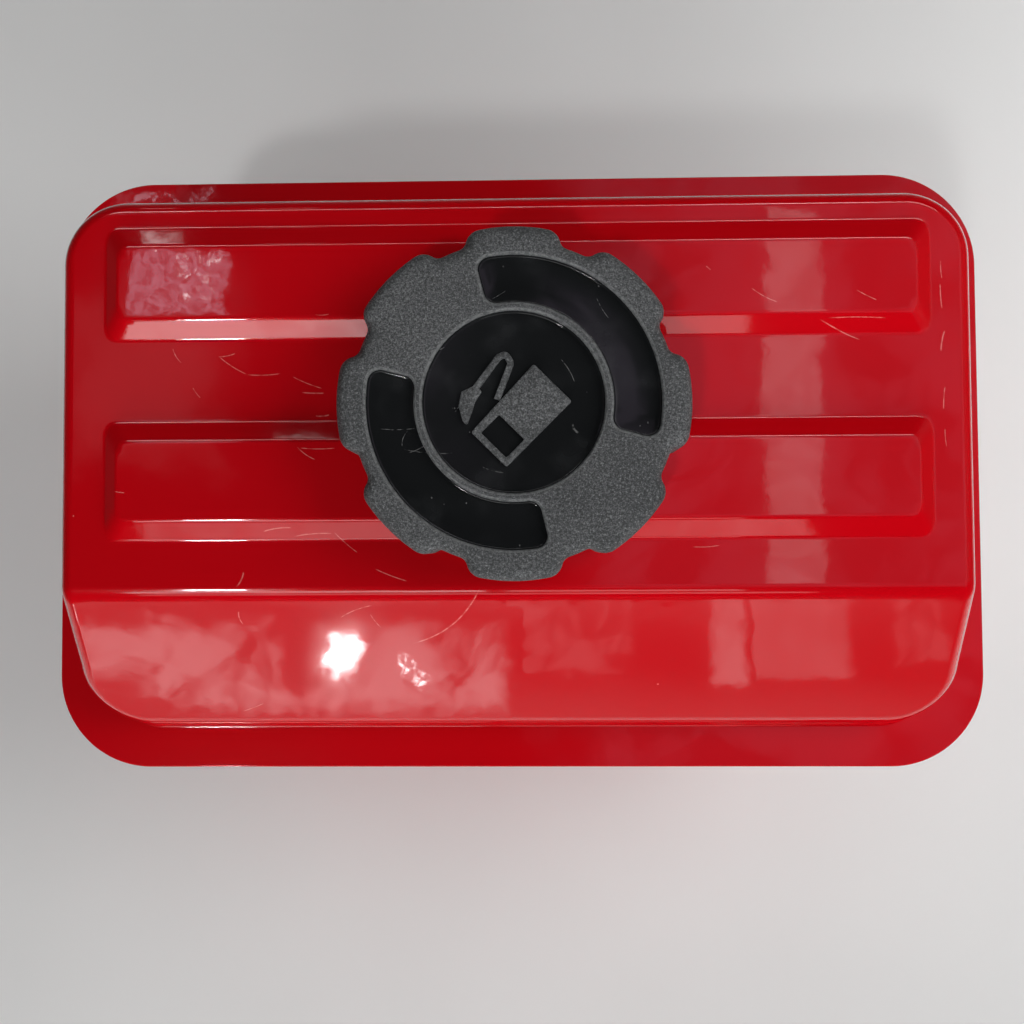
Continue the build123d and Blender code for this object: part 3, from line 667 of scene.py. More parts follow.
# %% Both sides of the sheet
def press_sheet(name, loops, loop_normals, height, field, level, way, materials):
    """The outer side, its inner side one sheet deeper, and the two rims that close them."""
    circles, grid = field
    rows = len(loops)
    rim = loops[-1, :, :2]
    fill = triangles([rim, circles[0]], [*circles[1:], grid])
    plan = np.vstack([*circles, grid])
    inner_n = surface_normal(height, *plan.T)
    points = np.vstack([loops.reshape(-1, 3), lift(plan, height(*plan.T))])
    normals = np.vstack([loop_normals.reshape(-1, 3), inner_n])
    under = points - sheet * normals
    trimmed = (edge_steps + 1) * loop_count
    under[:trimmed] = lift(points[:trimmed, :2], -sheet)
    under_n = -normals
    under_n[:trimmed] = -UP
    total, last = len(points), (rows - 1) * loop_count
    skin = strips(0, rows, loop_count)
    fill = fill + last
    hole = rows * loop_count + np.arange(len(circles[0]))
    hole_next = np.roll(hole, -1)
    edge = np.arange(loop_count)
    edge_next = np.roll(edge, -1)
    rims = np.vstack([np.column_stack([edge + total, edge_next + total, edge_next, edge]),
                      np.column_stack([hole, hole_next, hole_next + total, hole + total])])
    quads = np.vstack([skin, rims, skin[:, ::-1] + total])
    tris = np.vstack([fill, fill[:, ::-1] + total])
    points, normals = np.vstack([points, under]), np.vstack([normals, under_n])
    points = points * [1, 1, way] + [0, 0, level]
    normals = normals * [1, 1, way]
    if way < 0:
        quads, tris = quads[:, ::-1], tris[:, ::-1]
    groups = np.concatenate([np.zeros(len(skin) + len(rims)), np.ones(len(skin)), np.zeros(len(fill)),
                             np.ones(len(fill))])
    return make_piece(name, points, quads.tolist() + tris.tolist(), materials, normals, groups)


# %% [markdown]
# ## The upper half
#
# From above it is nearly the whole tank: a panel that drops to a sloping front, two long raised pads that
# stiffen it, and a flat round seat for the filler neck. Its overall size and the neck's place come from the
# frame, and all other sizes are set out from these two.

# %% Sizes of the upper half
flange_size, flange_corners = (flange_length, flange_width), (23.5, 23.5)
wall_reach, wall_corners, pan_corners = 11.0, (22.0, 16.5), (22.0, 22.0)
wall_size = (flange_length - 2 * wall_reach, flange_width - 2 * wall_reach)
upper_height, upper_draft = 42.0, math.radians(11.5)
slope_foot = 9.0
slope_foot_y = -wall_size[1] / 2 + slope_foot * math.tan(upper_draft)
panel_back = wall_size[1] / 2 - upper_height * math.tan(upper_draft)
panel_end = wall_size[0] / 2 - upper_height * math.tan(upper_draft)
crown_r, front_crown_r, break_r, bend_r = 3.4, 7.5, 5.0, 1.2
pad_rise, pad_run, pad_end_run, pad_corner = 2.0, 4.4, 3.2, 4.0
pad_foot_r, pad_top_r, pad_shift = 2.2, 2.5, 0.1
pad_end_gap, pad_back_gap, pad_gap, rear_pad_width, front_pad_width = 9.3, 6.0, 17.6, 24.6, 25.7
pad_half_length, pad_middle = panel_end - pad_end_gap, neck_at[0] - pad_shift
rear_pad = (panel_back - pad_back_gap - rear_pad_width, panel_back - pad_back_gap)
front_pad = (rear_pad[0] - pad_gap - front_pad_width, rear_pad[0] - pad_gap)
seat_r, seat_run, seat_foot_r, seat_top_r, ledge_r = 31.2, 0.9, 1.0, 1.2, 21.4
print("pads from y", np.round(front_pad, 2), "and", np.round(rear_pad, 2), "neck at", neck_at.round(2))


# %% [markdown]
# The relief is a height over the plan. The sloping front, the pads' borders and the seat's border are all the
# same ramp, which depends only on how far a place lies inside an outline, so a border runs round the corners
# of its pad by itself. Where two of them meet, the higher one wins, as one die pressed over another.

# %% Height of the upper half over the plan
def upper_roof(x, y):
    """The sloping front, then the level panel, with an arc between them."""
    climb = upper_height - slope_foot
    return slope_foot + ramp(y - slope_foot_y, climb, climb, 0.0, break_r) + 0 * x


def pad_height(x, y, pad):
    """A pad is a ramp in the distance from its border.

    With a and b for the distances from an end and from a side, min(a, b) - max(k - |a - b|, 0)^2 / 4k gives
    a distance whose lines of equal height have round corners.
    """
    low, high = pad
    from_end = (pad_half_length - np.abs(x - pad_middle)) * pad_run / pad_end_run
    from_side = (high - low) / 2 - np.abs(y - (low + high) / 2)
    round_off = np.maximum(pad_corner - np.abs(from_end - from_side), 0) ** 2 / (4 * pad_corner)
    return ramp(np.minimum(from_end, from_side) - round_off, pad_rise, pad_run, pad_foot_r, pad_top_r)


def upper_field(x, y):
    """Roof plus relief, where the relief is the highest of the two pads and the neck's seat."""
    inside = seat_r + seat_run - np.hypot(x - neck_at[0], y - neck_at[1])
    seat = ramp(inside, pad_rise, seat_run, seat_foot_r, seat_top_r)
    relief = np.maximum(np.maximum(pad_height(x, y, rear_pad), pad_height(x, y, front_pad)), seat)
    return upper_roof(x, y) + relief


print("the pads' tops stand", upper_field(-60.0, np.mean(front_pad)).round(2), "over the flange")

# %% [markdown]
# The field is set out on grid lines that lie close together over each border and over the bend to the sloping
# front. Round the neck's hole they give way to circles, which are closest over the seat's own border.

# %% Mesh of the upper half
border_spill, break_spill = 0.9, 2.3
field_end, field_front, field_back = 105.0, -63.0, 52.5


def border(place, side):
    """The stretch of grid lines over a pad's border, which climbs from place towards side."""
    return sorted((place - side * border_spill, place + side * (pad_run + border_spill)))


upper_loops, upper_normals = wall_loops(wall_size, wall_corners, flange_size, flange_corners, upper_draft,
                                        upper_roof, bend_r, crown_r, front_crown_r)
break_y = slope_foot_y + upper_height - slope_foot
x_zones = [border(pad_middle - pad_half_length, 1), border(pad_middle + pad_half_length, -1)]
y_zones = [(break_y - break_spill, break_y + break_spill), border(front_pad[0], 1), border(front_pad[1], -1),
           border(rear_pad[0], 1), border(rear_pad[1], -1)]
lines_x = graded(-field_end, field_end, x_zones, 0.42, 2.0)
lines_y = graded(field_front, field_back, y_zones, 0.27, 2.2)
seat_radii = np.concatenate([[ledge_r, 22.5, 25.0, 28.0, 30.0], np.arange(seat_r - 0.5, 34.0, 0.28)])
upper_fill = field_points(upper_loops[-1, :, :2], lines_x, lines_y, neck_at, seat_radii, 200)
upper = press_sheet("tank_upper_half", upper_loops, upper_normals, upper_field, upper_fill, flange_top, 1,
                    [red_paint, bare_steel])
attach(upper, "tank")
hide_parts("upper_shell")

# %% [markdown]
# ## The lower half
#
# Below the seam is a deep plain pan. Its crown is the rounded edge of the floor, which has two long ribs
# pressed up into it and a round sump pressed down, with the outlet's hole in the middle. It is made upside
# down by the same recipe and turned over by the sign of its heights.

# %% Mesh of the lower half
lower_depth, lower_draft, floor_crown_r = flange_top - 2 * sheet - floor_z, math.radians(4.0), 12.0
outlet_at, sump_r, sump_run, sump_depth, outlet_hole_r = (72.0, 12.0), 20.0, 5.0, 3.0, 5.05
rib_half, rib_corner, rib_rise, rib_foot_r, rib_top_r = (60.0, 7.0), 6.2, 2.5, 1.6, 1.4
rib_places, sump_bend_r = [(-30.0, -15.0), (-30.0, 11.0)], 2.0


def floor_level(x, y):
    """The pan's plain floor."""
    return lower_depth + 0 * x + 0 * y


def lower_field(x, y):
    """Floor less its two ribs, plus the sump's ramp."""
    height = floor_level(x, y)
    for place in rib_places:
        inside = inside_by(x, y, place, rib_half, rib_corner)
        height = height - ramp(inside, rib_rise, rib_rise, rib_foot_r, rib_top_r)
    sump = sump_r - np.hypot(x - outlet_at[0], y - outlet_at[1])
    return height + ramp(sump, sump_depth, sump_run, sump_bend_r, sump_bend_r)


pan_foot = tuple(size - 2 * sheet * math.tan(lower_draft) for size in wall_size)
lower_loops, lower_normals = wall_loops(pan_foot, pan_corners, flange_size, flange_corners, lower_draft,
                                        floor_level, bend_r, floor_crown_r, floor_crown_r)
rib_x = [(-91.0, -82.0), (22.0, 31.0)]
rib_y = [(-22.8, -18.0), (-12.0, -7.2), (3.2, 8.0), (14.0, 18.8)]
pan_radii = np.concatenate([[outlet_hole_r, 7.0, 10.0, 13.0], np.arange(14.0, 21.6, 0.5)])
lower_fill = field_points(lower_loops[-1, :, :2], graded(-94.0, 94.0, rib_x, 0.5, 2.4),
                          graded(-52.0, 52.0, rib_y, 0.35, 2.4), outlet_at, pan_radii, 120)
lower = press_sheet("tank_lower_half", lower_loops, lower_normals, lower_field, lower_fill,
                    flange_top - 2 * sheet, -1, [red_paint, bare_steel])
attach(lower, "tank")
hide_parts("lower_shell")

# %% [markdown]
# ## The cap's cover
#
# Eight notches round the rim give the fingers a grip. Seen from above, a notch's side is two arcs that
# touch: the lobe's convex corner and the notch's hollow one, as a mould-maker would draw them. Each arc is a
# centre, a radius and the two directions between which its normal turns. A hollow arc has a negative radius,
# and then moving the whole outline inwards is only a matter of taking the same amount from every radius, so
# the rounded rim follows the lobes by itself.

# %% Outline of the grip
cap_r, notch_depth, floor_half, lobe_round, notch_round = 35.5, 2.9, 3.0, 3.4, 2.2
notch_count = 8
seat_z = flange_top + upper_height + pad_rise
neck_axis = np.array([neck_at[0], neck_at[1], seat_z])


def arc_chain(arcs, turn=0.0):
    """Points and normals along arcs in a row: point = centre + r (cos n, sin n), with n in degrees.

    An arc is (its centre's distance, its centre's direction, r, first n, last n, steps). The whole chain is
    turned by turn degrees.
    """
    points, normals = [], []
    for centre_r, centre_turn, radius, first, last, steps in arcs:
        normal = heading(np.radians(np.linspace(first, last, steps, endpoint=False) + turn))
        points.append(centre_r * heading([math.radians(centre_turn + turn)]) + radius * normal)
        normals.append(normal)
    return np.vstack(points), np.vstack(normals)


def grip_outline():
    """Points and normals of the lobed outline: one notch between two half lobes, repeated round the rim.

    Two arcs touch when their centres lie the sum of their radii apart, which the law of cosines turns into
    an angle.
    """
    floor_r = cap_r - notch_depth
    lobe_c, floor_c, reach = cap_r - lobe_round, floor_r + notch_round, lobe_round + notch_round
    apart = math.acos((lobe_c**2 + floor_c**2 - reach**2) / (2 * lobe_c * floor_c))
    lobe_at, half = floor_half + math.degrees(apart), 180.0 / notch_count
    meet = math.degrees(math.atan2(floor_c * math.sin(apart), floor_c * math.cos(apart) - lobe_c)) - lobe_at
    points, normals = arc_chain([
        (0, 0, cap_r, -half, -lobe_at, 12),
        (lobe_c, -lobe_at, lobe_round, -lobe_at, meet, 10),
        (floor_c, -floor_half, -notch_round, meet, -floor_half, 8),
        (0, 0, floor_r, -floor_half, floor_half, 6),
        (floor_c, floor_half, -notch_round, floor_half, -meet, 8),
        (lobe_c, lobe_at, lobe_round, -meet, lobe_at, 10),
        (0, 0, cap_r, lobe_at, half, 12)])
    turns = np.radians((np.arange(notch_count) + 0.5) * 2 * half)
    spin = np.array([[[math.cos(a), math.sin(a)], [-math.sin(a), math.cos(a)]] for a in turns])
    return np.vstack(points @ spin), np.vstack(normals @ spin)


grip, grip_n = grip_outline()
print("grip outline has", len(grip), "points, radius", np.hypot(*grip.T).min().round(2), "to", cap_r)

# %% [markdown]
# The cover is one closed skin. Its loops start in the middle of the vent's bore, run down and round the hub,
# out under the top plate, down inside the skirt, and up the grip to the rounded rim. The top face then fills
# the last loop round three openings, the mouths of the recesses.

# %% Loops of the skirt and the hub
skirt_low, cap_top, skirt_in, plate_under = 2.3, 15.0, 30.2, 12.3
hub_low, hub_r, bore_r, rim_round = 6.1, 14.0, 5.5, 2.5
grip_steps = len(grip)


def round_loop(radius, level):
    """A circle with as many points as the grip, which starts at the same turn."""
    return lift(radius * heading(np.arange(grip_steps) * 2 * math.pi / grip_steps), level)


pole_r, bore_cut, edge_cut, root_cut, skirt_cut, skirt_round = 0.02, 0.3, 0.4, 0.6, 1.0, 0.5
inside = [(pole_r, plate_under), (bore_r, plate_under), (bore_r, hub_low + bore_cut),
          (bore_r + bore_cut, hub_low), (hub_r - edge_cut, hub_low), (hub_r, hub_low + edge_cut),
          (hub_r, plate_under - root_cut), (hub_r + root_cut, plate_under),
          (skirt_in - skirt_cut, plate_under), (skirt_in, plate_under - skirt_cut),
          (skirt_in, skirt_low + edge_cut), (skirt_in + edge_cut, skirt_low)]
inside_loops = np.array([round_loop(r, z) for r, z in inside])
foot, _ = blend_round(lift(grip, skirt_low), -UP, lift(grip_n, 0), skirt_round, 3)
rim, _ = blend_round(lift(grip, cap_top), lift(grip_n, 0), UP, rim_round, 9)
outer_loops = np.concatenate([foot, stretch(foot[-1], rim[0], 3), rim])
print("cover loops", len(inside_loops), "inside and", len(outer_loops), "outside")

# %% [markdown]
# The top has three recesses: a round one in the middle and two curved ones beside it. They are drawn with
# arcs too. A curved recess is a stretch of a ring, with four small arcs for its corners that touch the long
# arcs.

# %% Recess outlines
def arc_outline(inner_r, outer_r, half_angle, corner, turn):
    """A stretch of a ring with rounded corners: four corner arcs joined by the ring's two long arcs."""
    outer_turn = half_angle - math.degrees(math.asin(corner / (outer_r - corner)))
    inner_turn = half_angle - math.degrees(math.asin(corner / (inner_r + corner)))
    return arc_chain([
        (0, 0, outer_r, -outer_turn, outer_turn, 56),
        (outer_r - corner, outer_turn, corner, outer_turn, half_angle + 90, 10),
        (inner_r + corner, inner_turn, corner, half_angle + 90, inner_turn + 180, 10),
        (0, 0, -inner_r, inner_turn + 180, 180 - inner_turn, 40),
        (inner_r + corner, -inner_turn, corner, 180 - inner_turn, 270 - half_angle, 10),
        (outer_r - corner, -outer_turn, corner, 270 - half_angle, 360 - outer_turn, 10)], turn)


def circle_outline(radius, steps):
    """A circle and its outward normals."""
    normal = heading(np.arange(steps) * 2 * math.pi / steps)
    return radius * normal, normal


disc_r, disc_depth, arc_depth = 18.1, 1.6, 1.3
arc_inner_r, arc_outer_r, arc_corner = 19.9, 29.3, 2.5
recesses = [(*circle_outline(disc_r, 140), disc_depth)]
for half_angle, turn in ((60.0, 45), (59.0, 225)):
    recesses.append((*arc_outline(arc_inner_r, arc_outer_r, half_angle, arc_corner, turn), arc_depth))
print("points round the recesses:", [len(outline) for outline, _, _ in recesses])

# %% [markdown]
# Each recess runs from the top over a rounded lip, down a wall and into its floor. All the loops and flats go
# into one list of faces, and every face gets the number of its plastic: grained outside, gloss in the
# recesses, plain inside, and a paler one on the lips, which paints their highlight. No normals are handed
# over here, because the edges that stay sharp are found by their angle.

# %% Mesh of the cover
lip_round, heel_round = 0.6, 0.4
plastics = [cap_grain, cap_gloss, cap_inside, cap_edge]
GRAIN, GLOSS, INSIDE, EDGE = range(4)


def recess_loops(outline, outward, depth):
    """From the top face over the lip, down the wall and round into the floor."""
    inward = lift(-outward, 0)
    lip, _ = blend_round(lift(outline, cap_top), UP, inward, lip_round, 4)
    heel, _ = blend_round(lift(outline, cap_top - depth), inward, UP, heel_round, 4, hollow=True)
    return np.concatenate([lip, heel])


def make_cover():
    """Puts the skirt, the top face, the recess walls and their floors into one closed mesh."""
    rows = len(inside_loops) + len(outer_loops)
    points = [inside_loops.reshape(-1, 3), outer_loops.reshape(-1, 3)]
    quads = [strips(0, rows, grip_steps)]
    kinds = [np.repeat([INSIDE, GRAIN], np.array([len(inside_loops), len(outer_loops) - 1]) * grip_steps)]
    start = rows * grip_steps
    rim_index = [start - grip_steps + np.arange(grip_steps)]
    mouths, floors = [], []
    for outline, outward, depth in recesses:
        loops = recess_loops(outline, outward, depth)
        count = len(outline)
        points.append(loops.reshape(-1, 3))
        quads.append(strips(start, len(loops), count))
        kinds.append(np.repeat([EDGE, GRAIN, GLOSS], np.array([3, 1, len(loops) - 5]) * count))
        mouths.append(loops[0, :, :2])
        rim_index.append(start + np.arange(count))
        floors.append((loops[-1, :, :2], start + (len(loops) - 1) * count))
        start += len(loops) * count
    top = triangles([outer_loops[-1, :, :2], *mouths])
    tris, tri_kinds = [np.concatenate(rim_index)[top]], [np.full(len(top), GRAIN)]
    for outline, first in floors:
        tris.append(triangles([outline]) + first)
        tri_kinds.append(np.full(len(tris[-1]), GLOSS))
    bore_end = list(range(grip_steps))[::-1]
    faces = np.vstack(quads).tolist() + np.vstack(tris).tolist() + [bore_end]
    groups = np.concatenate([*kinds, *tri_kinds, [INSIDE]])
    return make_piece("cap_cover_moulding", np.vstack(points) + neck_axis, faces, plastics, groups=groups)


cover = make_cover()
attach(cover, "cap")
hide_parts("cap_cover")

# %% [markdown]
# ## The pump sign
#
# A plain sign of a fuel pump stands up in the round recess: a body with a window, a hose that loops over
# and a nozzle. Each is a plate whose top edge is softened, so a plate is its outline, the same outline a
# little higher and a little smaller, and a flat lid.

# %% Plates of the sign
sign_height, sign_soft, sign_sunk, disc_floor = 0.7, 0.22, 0.15, cap_top - disc_depth


def inset_line(outline, amount):
    """A closed line moved inwards: each corner goes 2 (n1 + n2) / |n1 + n2|^2 times the amount.

    The edges' normals are n1 and n2, and with that factor both edges stay parallel to what they were.
    """
    ahead = unit(np.roll(outline, -1, axis=0) - outline)
    behind = np.roll(ahead, 1, axis=0)
    left = np.column_stack([-ahead[:, 1], ahead[:, 0]])
    left_before = np.column_stack([-behind[:, 1], behind[:, 0]])
    bisector = left + left_before
    return outline + amount * 2 * bisector / np.sum(bisector**2, axis=1, keepdims=True)


def plate_loops(outline, inwards=1):
    """Wall and softened top edge of a plate, from below the floor up to the lid."""
    steps = [(0, -sign_sunk), (0, sign_height - sign_soft), (0.3 * sign_soft, sign_height - sign_soft * 0.3),
             (sign_soft, sign_height)]
    return np.array([lift(inset_line(outline, inwards * amount), disc_floor + z) for amount, z in steps])


def rounded_corner(before, corner, after, radius, steps):
    """The arc that replaces a corner: its centre lies r / sin(half the angle) away, along the bisector."""
    a, b = unit(before - corner), unit(after - corner)
    half = math.acos(float(a @ b)) / 2
    centre = corner + unit(a + b) * radius / math.sin(half)
    first, last = corner + a * radius / math.tan(half) - centre, corner + b * radius / math.tan(half) - centre
    share = np.linspace(0, 1, steps)[:, None]
    return centre + unit(first * (1 - share) + last * share) * radius


def rounded_plan(corners, radius):
    """A polygon, counter-clockwise, whose corners are arcs that touch their two edges."""
    corners = np.asarray(corners, float)
    threes = zip(np.roll(corners, 1, axis=0), corners, np.roll(corners, -1, axis=0))
    return np.vstack([rounded_corner(*three, radius, 5) for three in threes])


def solid_plate(name, outline):
    """A closed plate: the loops of its wall, a lid and a base."""
    loops = plate_loops(outline)
    count = len(outline)
    faces = strips(0, len(loops), count).tolist()
    faces += [list(range(3 * count, 4 * count)), list(range(count))[::-1]]
    return make_piece(name, loops.reshape(-1, 3) + neck_axis, faces, [cap_grain])


def framed_plate(name, outline, window):
    """A plate with a window: two walls and a lid between their top loops."""
    outer, hole = plate_loops(outline), plate_loops(window, -1)
    a, b = len(outline), len(window)
    points = np.vstack([outer.reshape(-1, 3), hole.reshape(-1, 3)])
    lid = triangles([outer[-1, :, :2], hole[-1, :, :2]])
    index = np.concatenate([3 * a + np.arange(a), 4 * a + 3 * b + np.arange(b)])
    base = triangles([outer[0, :, :2], hole[0, :, :2]])
    base_index = np.concatenate([np.arange(a), 4 * a + np.arange(b)])
    faces = (strips(0, 4, a).tolist() + strips(4 * a, 4, b)[:, ::-1].tolist() + index[lid].tolist()
             + base_index[base][:, ::-1].tolist())
    return make_piece(name, points + neck_axis, faces, [cap_grain])


# %% [markdown]
# The sign leans by 45 degrees. Its body and window are rounded polygons given in its own leaning axes, the
# hose is a line of one width along a path with rounded bends, and the nozzle is a small polygon of its own.

# %% Shapes of the sign
def stroke(path, width, radius):
    """The outline of a line of the given width along a path with rounded bends."""
    path = np.asarray(path, float)
    bends = [rounded_corner(*path[k - 1:k + 2], radius, 7) for k in range(1, len(path) - 1)]
    line = np.vstack([path[:1], *bends, path[-1:]])
    ahead = unit(np.gradient(line, axis=0))
    left = np.column_stack([-ahead[:, 1], ahead[:, 0]]) * width / 2
    return np.vstack([line - left, (line + left)[::-1]])


def leaning_plan(corners, radius):
    """A rounded polygon whose corners are given along the pump's base and up its side."""
    along, up = np.array(corners).T
    return rounded_plan(np.column_stack([along + up, up - along]) * math.sqrt(0.5), radius)


body_plan = leaning_plan([(-1.8, -10.2), (8.1, -10.2), (8.1, 8.2), (-2.5, 8.2)], 0.45)
window_plan = leaning_plan([(-0.3, -8.9), (6.75, -8.9), (6.75, -3.8), (-0.3, -3.8)], 0.3)
hose_path = [(-3.3, 0.5), (-0.5, 7.8), (-1.5, 9.6), (-2.95, 9.0), (-7.5, 2.9)]
nozzle_plan = rounded_plan([(-7.3, 3.6), (-10.4, 2.1), (-10.95, -0.6), (-10.2, -3.6), (-9.3, -4.7),
                            (-8.5, -2.5), (-7.6, 0.2), (-6.3, 2.1)], 0.35)
sign = [framed_plate("pump_sign_body", body_plan, window_plan),
        solid_plate("pump_sign_hose", stroke(hose_path, 1.3, 0.75)),
        solid_plate("pump_sign_nozzle", nozzle_plan)]
for plate in sign:
    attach(plate, "cap")
    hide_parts("cap_cover")

# %% [markdown]
# ## Finishes on the fittings
#
# The neck, strainer, seals, screws, brackets and outlet already have their true shapes in the frame, so
# they stay and only get their finish. Two modifiers help them take light well: Weld joins the loose
# triangles, and Bevel softens each sharp edge by a fraction of a millimetre.

# %% Materials and soft edges for the nodes that stay
node_finish = {
    "filler_neck": red_paint, "front_bracket_left": red_paint, "front_bracket_right": red_paint,
    "rear_bracket": red_paint, "strainer_frame": white_plastic, "strainer_mesh": gauze,
    "cap_gasket": rubber, "cap_pressure_disc": zinc, "cap_spring": spring_steel, "cap_bayonet_plate": zinc,
    "cap_vent_foam": foam, "cap_vent_valve": rubber, "cap_vent_baffle": zinc, "cap_screws": zinc,
    "outlet_bung": bare_steel, "outlet_washer": fibre, "outlet_joint": brass, "outlet_screen": gauze,
    "outlet_screen_cap": white_plastic, "mount_studs": zinc,
}
weld_gap, soft_edge, bevel_angle = 1e-6, 0.00018, math.radians(35)
for node, material in node_finish.items():
    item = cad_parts[node]
    item.data.materials.clear()
    item.data.materials.append(material)
    item.data.shade_smooth()
    weld = item.modifiers.new("join the triangles", "WELD")
    weld.merge_threshold = weld_gap
    bevel = item.modifiers.new("soften the edges", "BEVEL")
    bevel.width, bevel.segments, bevel.limit_method = soft_edge, 2, "ANGLE"
    bevel.angle_limit, bevel.harden_normals = bevel_angle, True
print("finished", len(node_finish), "fittings")

# %% [markdown]
# ## Floor
#
# The tank stands on its two studs and its rear foot, on a plain pale sheet with a faint mottle and a soft
# sheen. Its colour is painted darker further out, a painted falloff that stands in for the edge of a studio's
# pool of light, so that the gloss paint doesn't mirror a white horizon. It lies a twentieth of a millimetre
# under the feet, so that no face of theirs shares its plane.

# %% Floor
def make_floor():
    """A large pale square under the tank, whose colour is painted darker between 0.3 and 1 m from the middle,
    a painted falloff of light.
    """
    material, tree = finish_named("pale_floor_painted_falloff")
    shader = tree.nodes["Principled BSDF"]
    place = on_piece(tree)
    mottle = noise(tree, place, 9.0, 2.0)
    near = tint(tree, mottle, (0.69, 0.69, 0.685), (0.77, 0.77, 0.765))
    away = wire(tree, "VectorMath", {"operation": "LENGTH"}, i0=place).outputs["Value"]
    # Painted shade: the floor's colour grows darker with distance from the middle, a painted falloff of the
    # studio's light.
    shade = tint(tree, between(tree, away, 0.3, 1.0), near, (0.12, 0.12, 0.12))
    tree.links.new(shade, shader.inputs["Base Color"])
    shader.inputs["Roughness"].default_value = 0.55
    half, under = 3000.0, -0.05
    floor = make_piece("floor", lift([(-half, -half), (half, -half), (half, half), (-half, half)], under),
                       [[0, 1, 2, 3]], [material])


make_floor()

# %% [markdown]
# ## Light
#
# Gloss paint shows the room, so the light is built in two parts, as for a car in a studio. The first part
# lights the colour and isn't mirrored: a wide ceiling bank, a low bank far in front, a smaller one at the
# right, and one small hard lamp that gives the shadow its edge. The second part is only there to be mirrored,
# and each of its lamps makes one band, patch or glint. Most of them have folds and a frayed rim, like cloth
# over a frame, so that no reflection is a clean rectangle. An area light's power is pi times its area times
# its brightness.

# %% Soft boxes
fold_threshold, fold_range = 0.38, 0.22


def cloth(tree, size, folds, rim, oval):
    """Brightness over a lamp: folds of light and dark, and a soft, frayed rim.

    folds is (waves in a metre, darkest, brightest) and, where it isn't the usual one, the threshold. The
    rim's distance comes from the nearest side, or from an ellipse inside the rectangle.
    """
    place = wire(tree, "NewGeometry").outputs["Parametric"]
    spread = wire(tree, "Mapping", Vector=place, Scale=(*size, 1),
                  Location=(-size[0] / 2, -size[1] / 2, 0)).outputs["Vector"]
    shade = 1.0
    if folds:
        scale, darkest, brightest, *rest = folds
        threshold = rest[0] if rest else fold_threshold
        waves = noise(tree, spread, scale, 3.0, 0.6, 0.8)
        shade = between(tree, waves, threshold, threshold + fold_range, darkest, brightest)
    if rim:
        spot = wire(tree, "SeparateXYZ", Vector=spread)
        gaps = [maths(tree, "SUBTRACT", side / 2, maths(tree, "ABSOLUTE", spot.outputs[axis]))
                for side, axis in zip(size, "XY")]
        fray = maths(tree, "MULTIPLY", noise(tree, spread, 1.5 / rim, 4.0, 0.65), rim)
        nearest = maths(tree, "MINIMUM", *gaps)
        if oval:
            centred = wire(tree, "Mapping", Vector=place, Scale=(2, 2, 1), Location=(-1, -1, 0))
            out = wire(tree, "VectorMath", {"operation": "LENGTH"}, i0=centred.outputs["Vector"])
            share = maths(tree, "SUBTRACT", 1.0, out.outputs["Value"])
            nearest = maths(tree, "MULTIPLY", share, min(size) / 2)
        gap = maths(tree, "SUBTRACT", nearest, fray)
        shade = maths(tree, "MULTIPLY", between(tree, gap, -0.3 * rim, 0.4 * rim), shade)
    return shade


def soft_box(name, place, aim, size, brightness, shows, colour=(1, 1, 1), folds=None, rim=None, oval=False):
    """A rectangular area light that faces aim and shows in the colour or in the gloss."""
    light = bpy.data.lights.new(name, "AREA")
    light.shape, light.size, light.size_y = "RECTANGLE", *size
    light.energy = math.pi * size[0] * size[1] * brightness
    light.color = colour
    if folds or rim:
        light.use_nodes = True
        tree = light.node_tree
        tree.links.new(cloth(tree, size, folds, rim, oval), tree.nodes["Emission"].inputs["Strength"])
    lamp = bpy.data.objects.new(name, light)
    lamp.location = place
    away = np.asarray(place, float) - np.asarray(aim, float)
    lamp.rotation_mode = "QUATERNION"
    lamp.rotation_quaternion = Vector(away).to_track_quat("Z", "Y")
    lamp.visible_camera = False
    lamp.visible_diffuse = shows == "colour"
    lamp.visible_glossy = shows == "gloss"
    bpy.context.scene.collection.objects.link(lamp)
    print("lamp", name, round(light.energy, 3), "W")


# %% Lamps that light the colour
tank_top = (0.0, 0.0, 0.13)
soft_box("ceiling_bank", (0.1, -0.1, 1.6), (0.0, 0.0, 0.0), (2.4, 2.4), 0.3, "colour")
soft_box("front_fill", (-0.1, -2.6, 0.65), tank_top, (2.4, 0.8), 11.0, "colour")
soft_box("right_bank", (0.48, 0.1, 0.45), (0.08, 0.0, 0.1), (0.4, 0.4), 4.9, "colour")
soft_box("hard_lamp", (-0.31, -0.54, 1.13), tank_top, (0.1, 0.1), 92.0, "colour")

# %% [markdown]
# The top panel and the pads are level, so they mirror what hangs above them: a strip that draws a pale band
# down the right, a faint haze on either side, and a small window with its sill. These lamps face straight
# down.

# %% Lamps over the tank
white = (1, 1, 1)
lamps_above = [
    ("overhead_strip", 0.288, 0.13, 1.0, (0.075, 0.46), 1.15, white, (14.0, 0.7, 1.2), 0.014),
    ("right_haze", 0.5, 0.1, 1.02, (1.1, 1.2), 0.27, (1.0, 0.8, 1.1), (9.0, 0.45, 1.25), 0.2),
    ("left_haze", -0.44, 0.17, 1.02, (0.3, 0.3), 0.4, (1.0, 0.7, 0.75), None, 0.13),
    ("window_patch", -0.391, 0.268, 1.0, (0.122, 0.084), 1.7, (0.85, 0.8, 1.0), (120.0, 0.35, 1.8), 0.008),
    ("window_glints", -0.362, 0.276, 0.99, (0.055, 0.07), 24.0, white, (130.0, 0.0, 1.0, 0.56), 0.012),
    ("window_sill", -0.436, 0.393, 1.0, (0.13, 0.045), 2.4, (0.9, 0.85, 1.0), (90.0, 0.05, 1.8, 0.48), 0.01),
]
for name, x, y, z, size, brightness, colour, folds, rim in lamps_above:
    soft_box(name, (x, y, z), (x, y, 0.0), size, brightness, "gloss", colour, folds, rim)

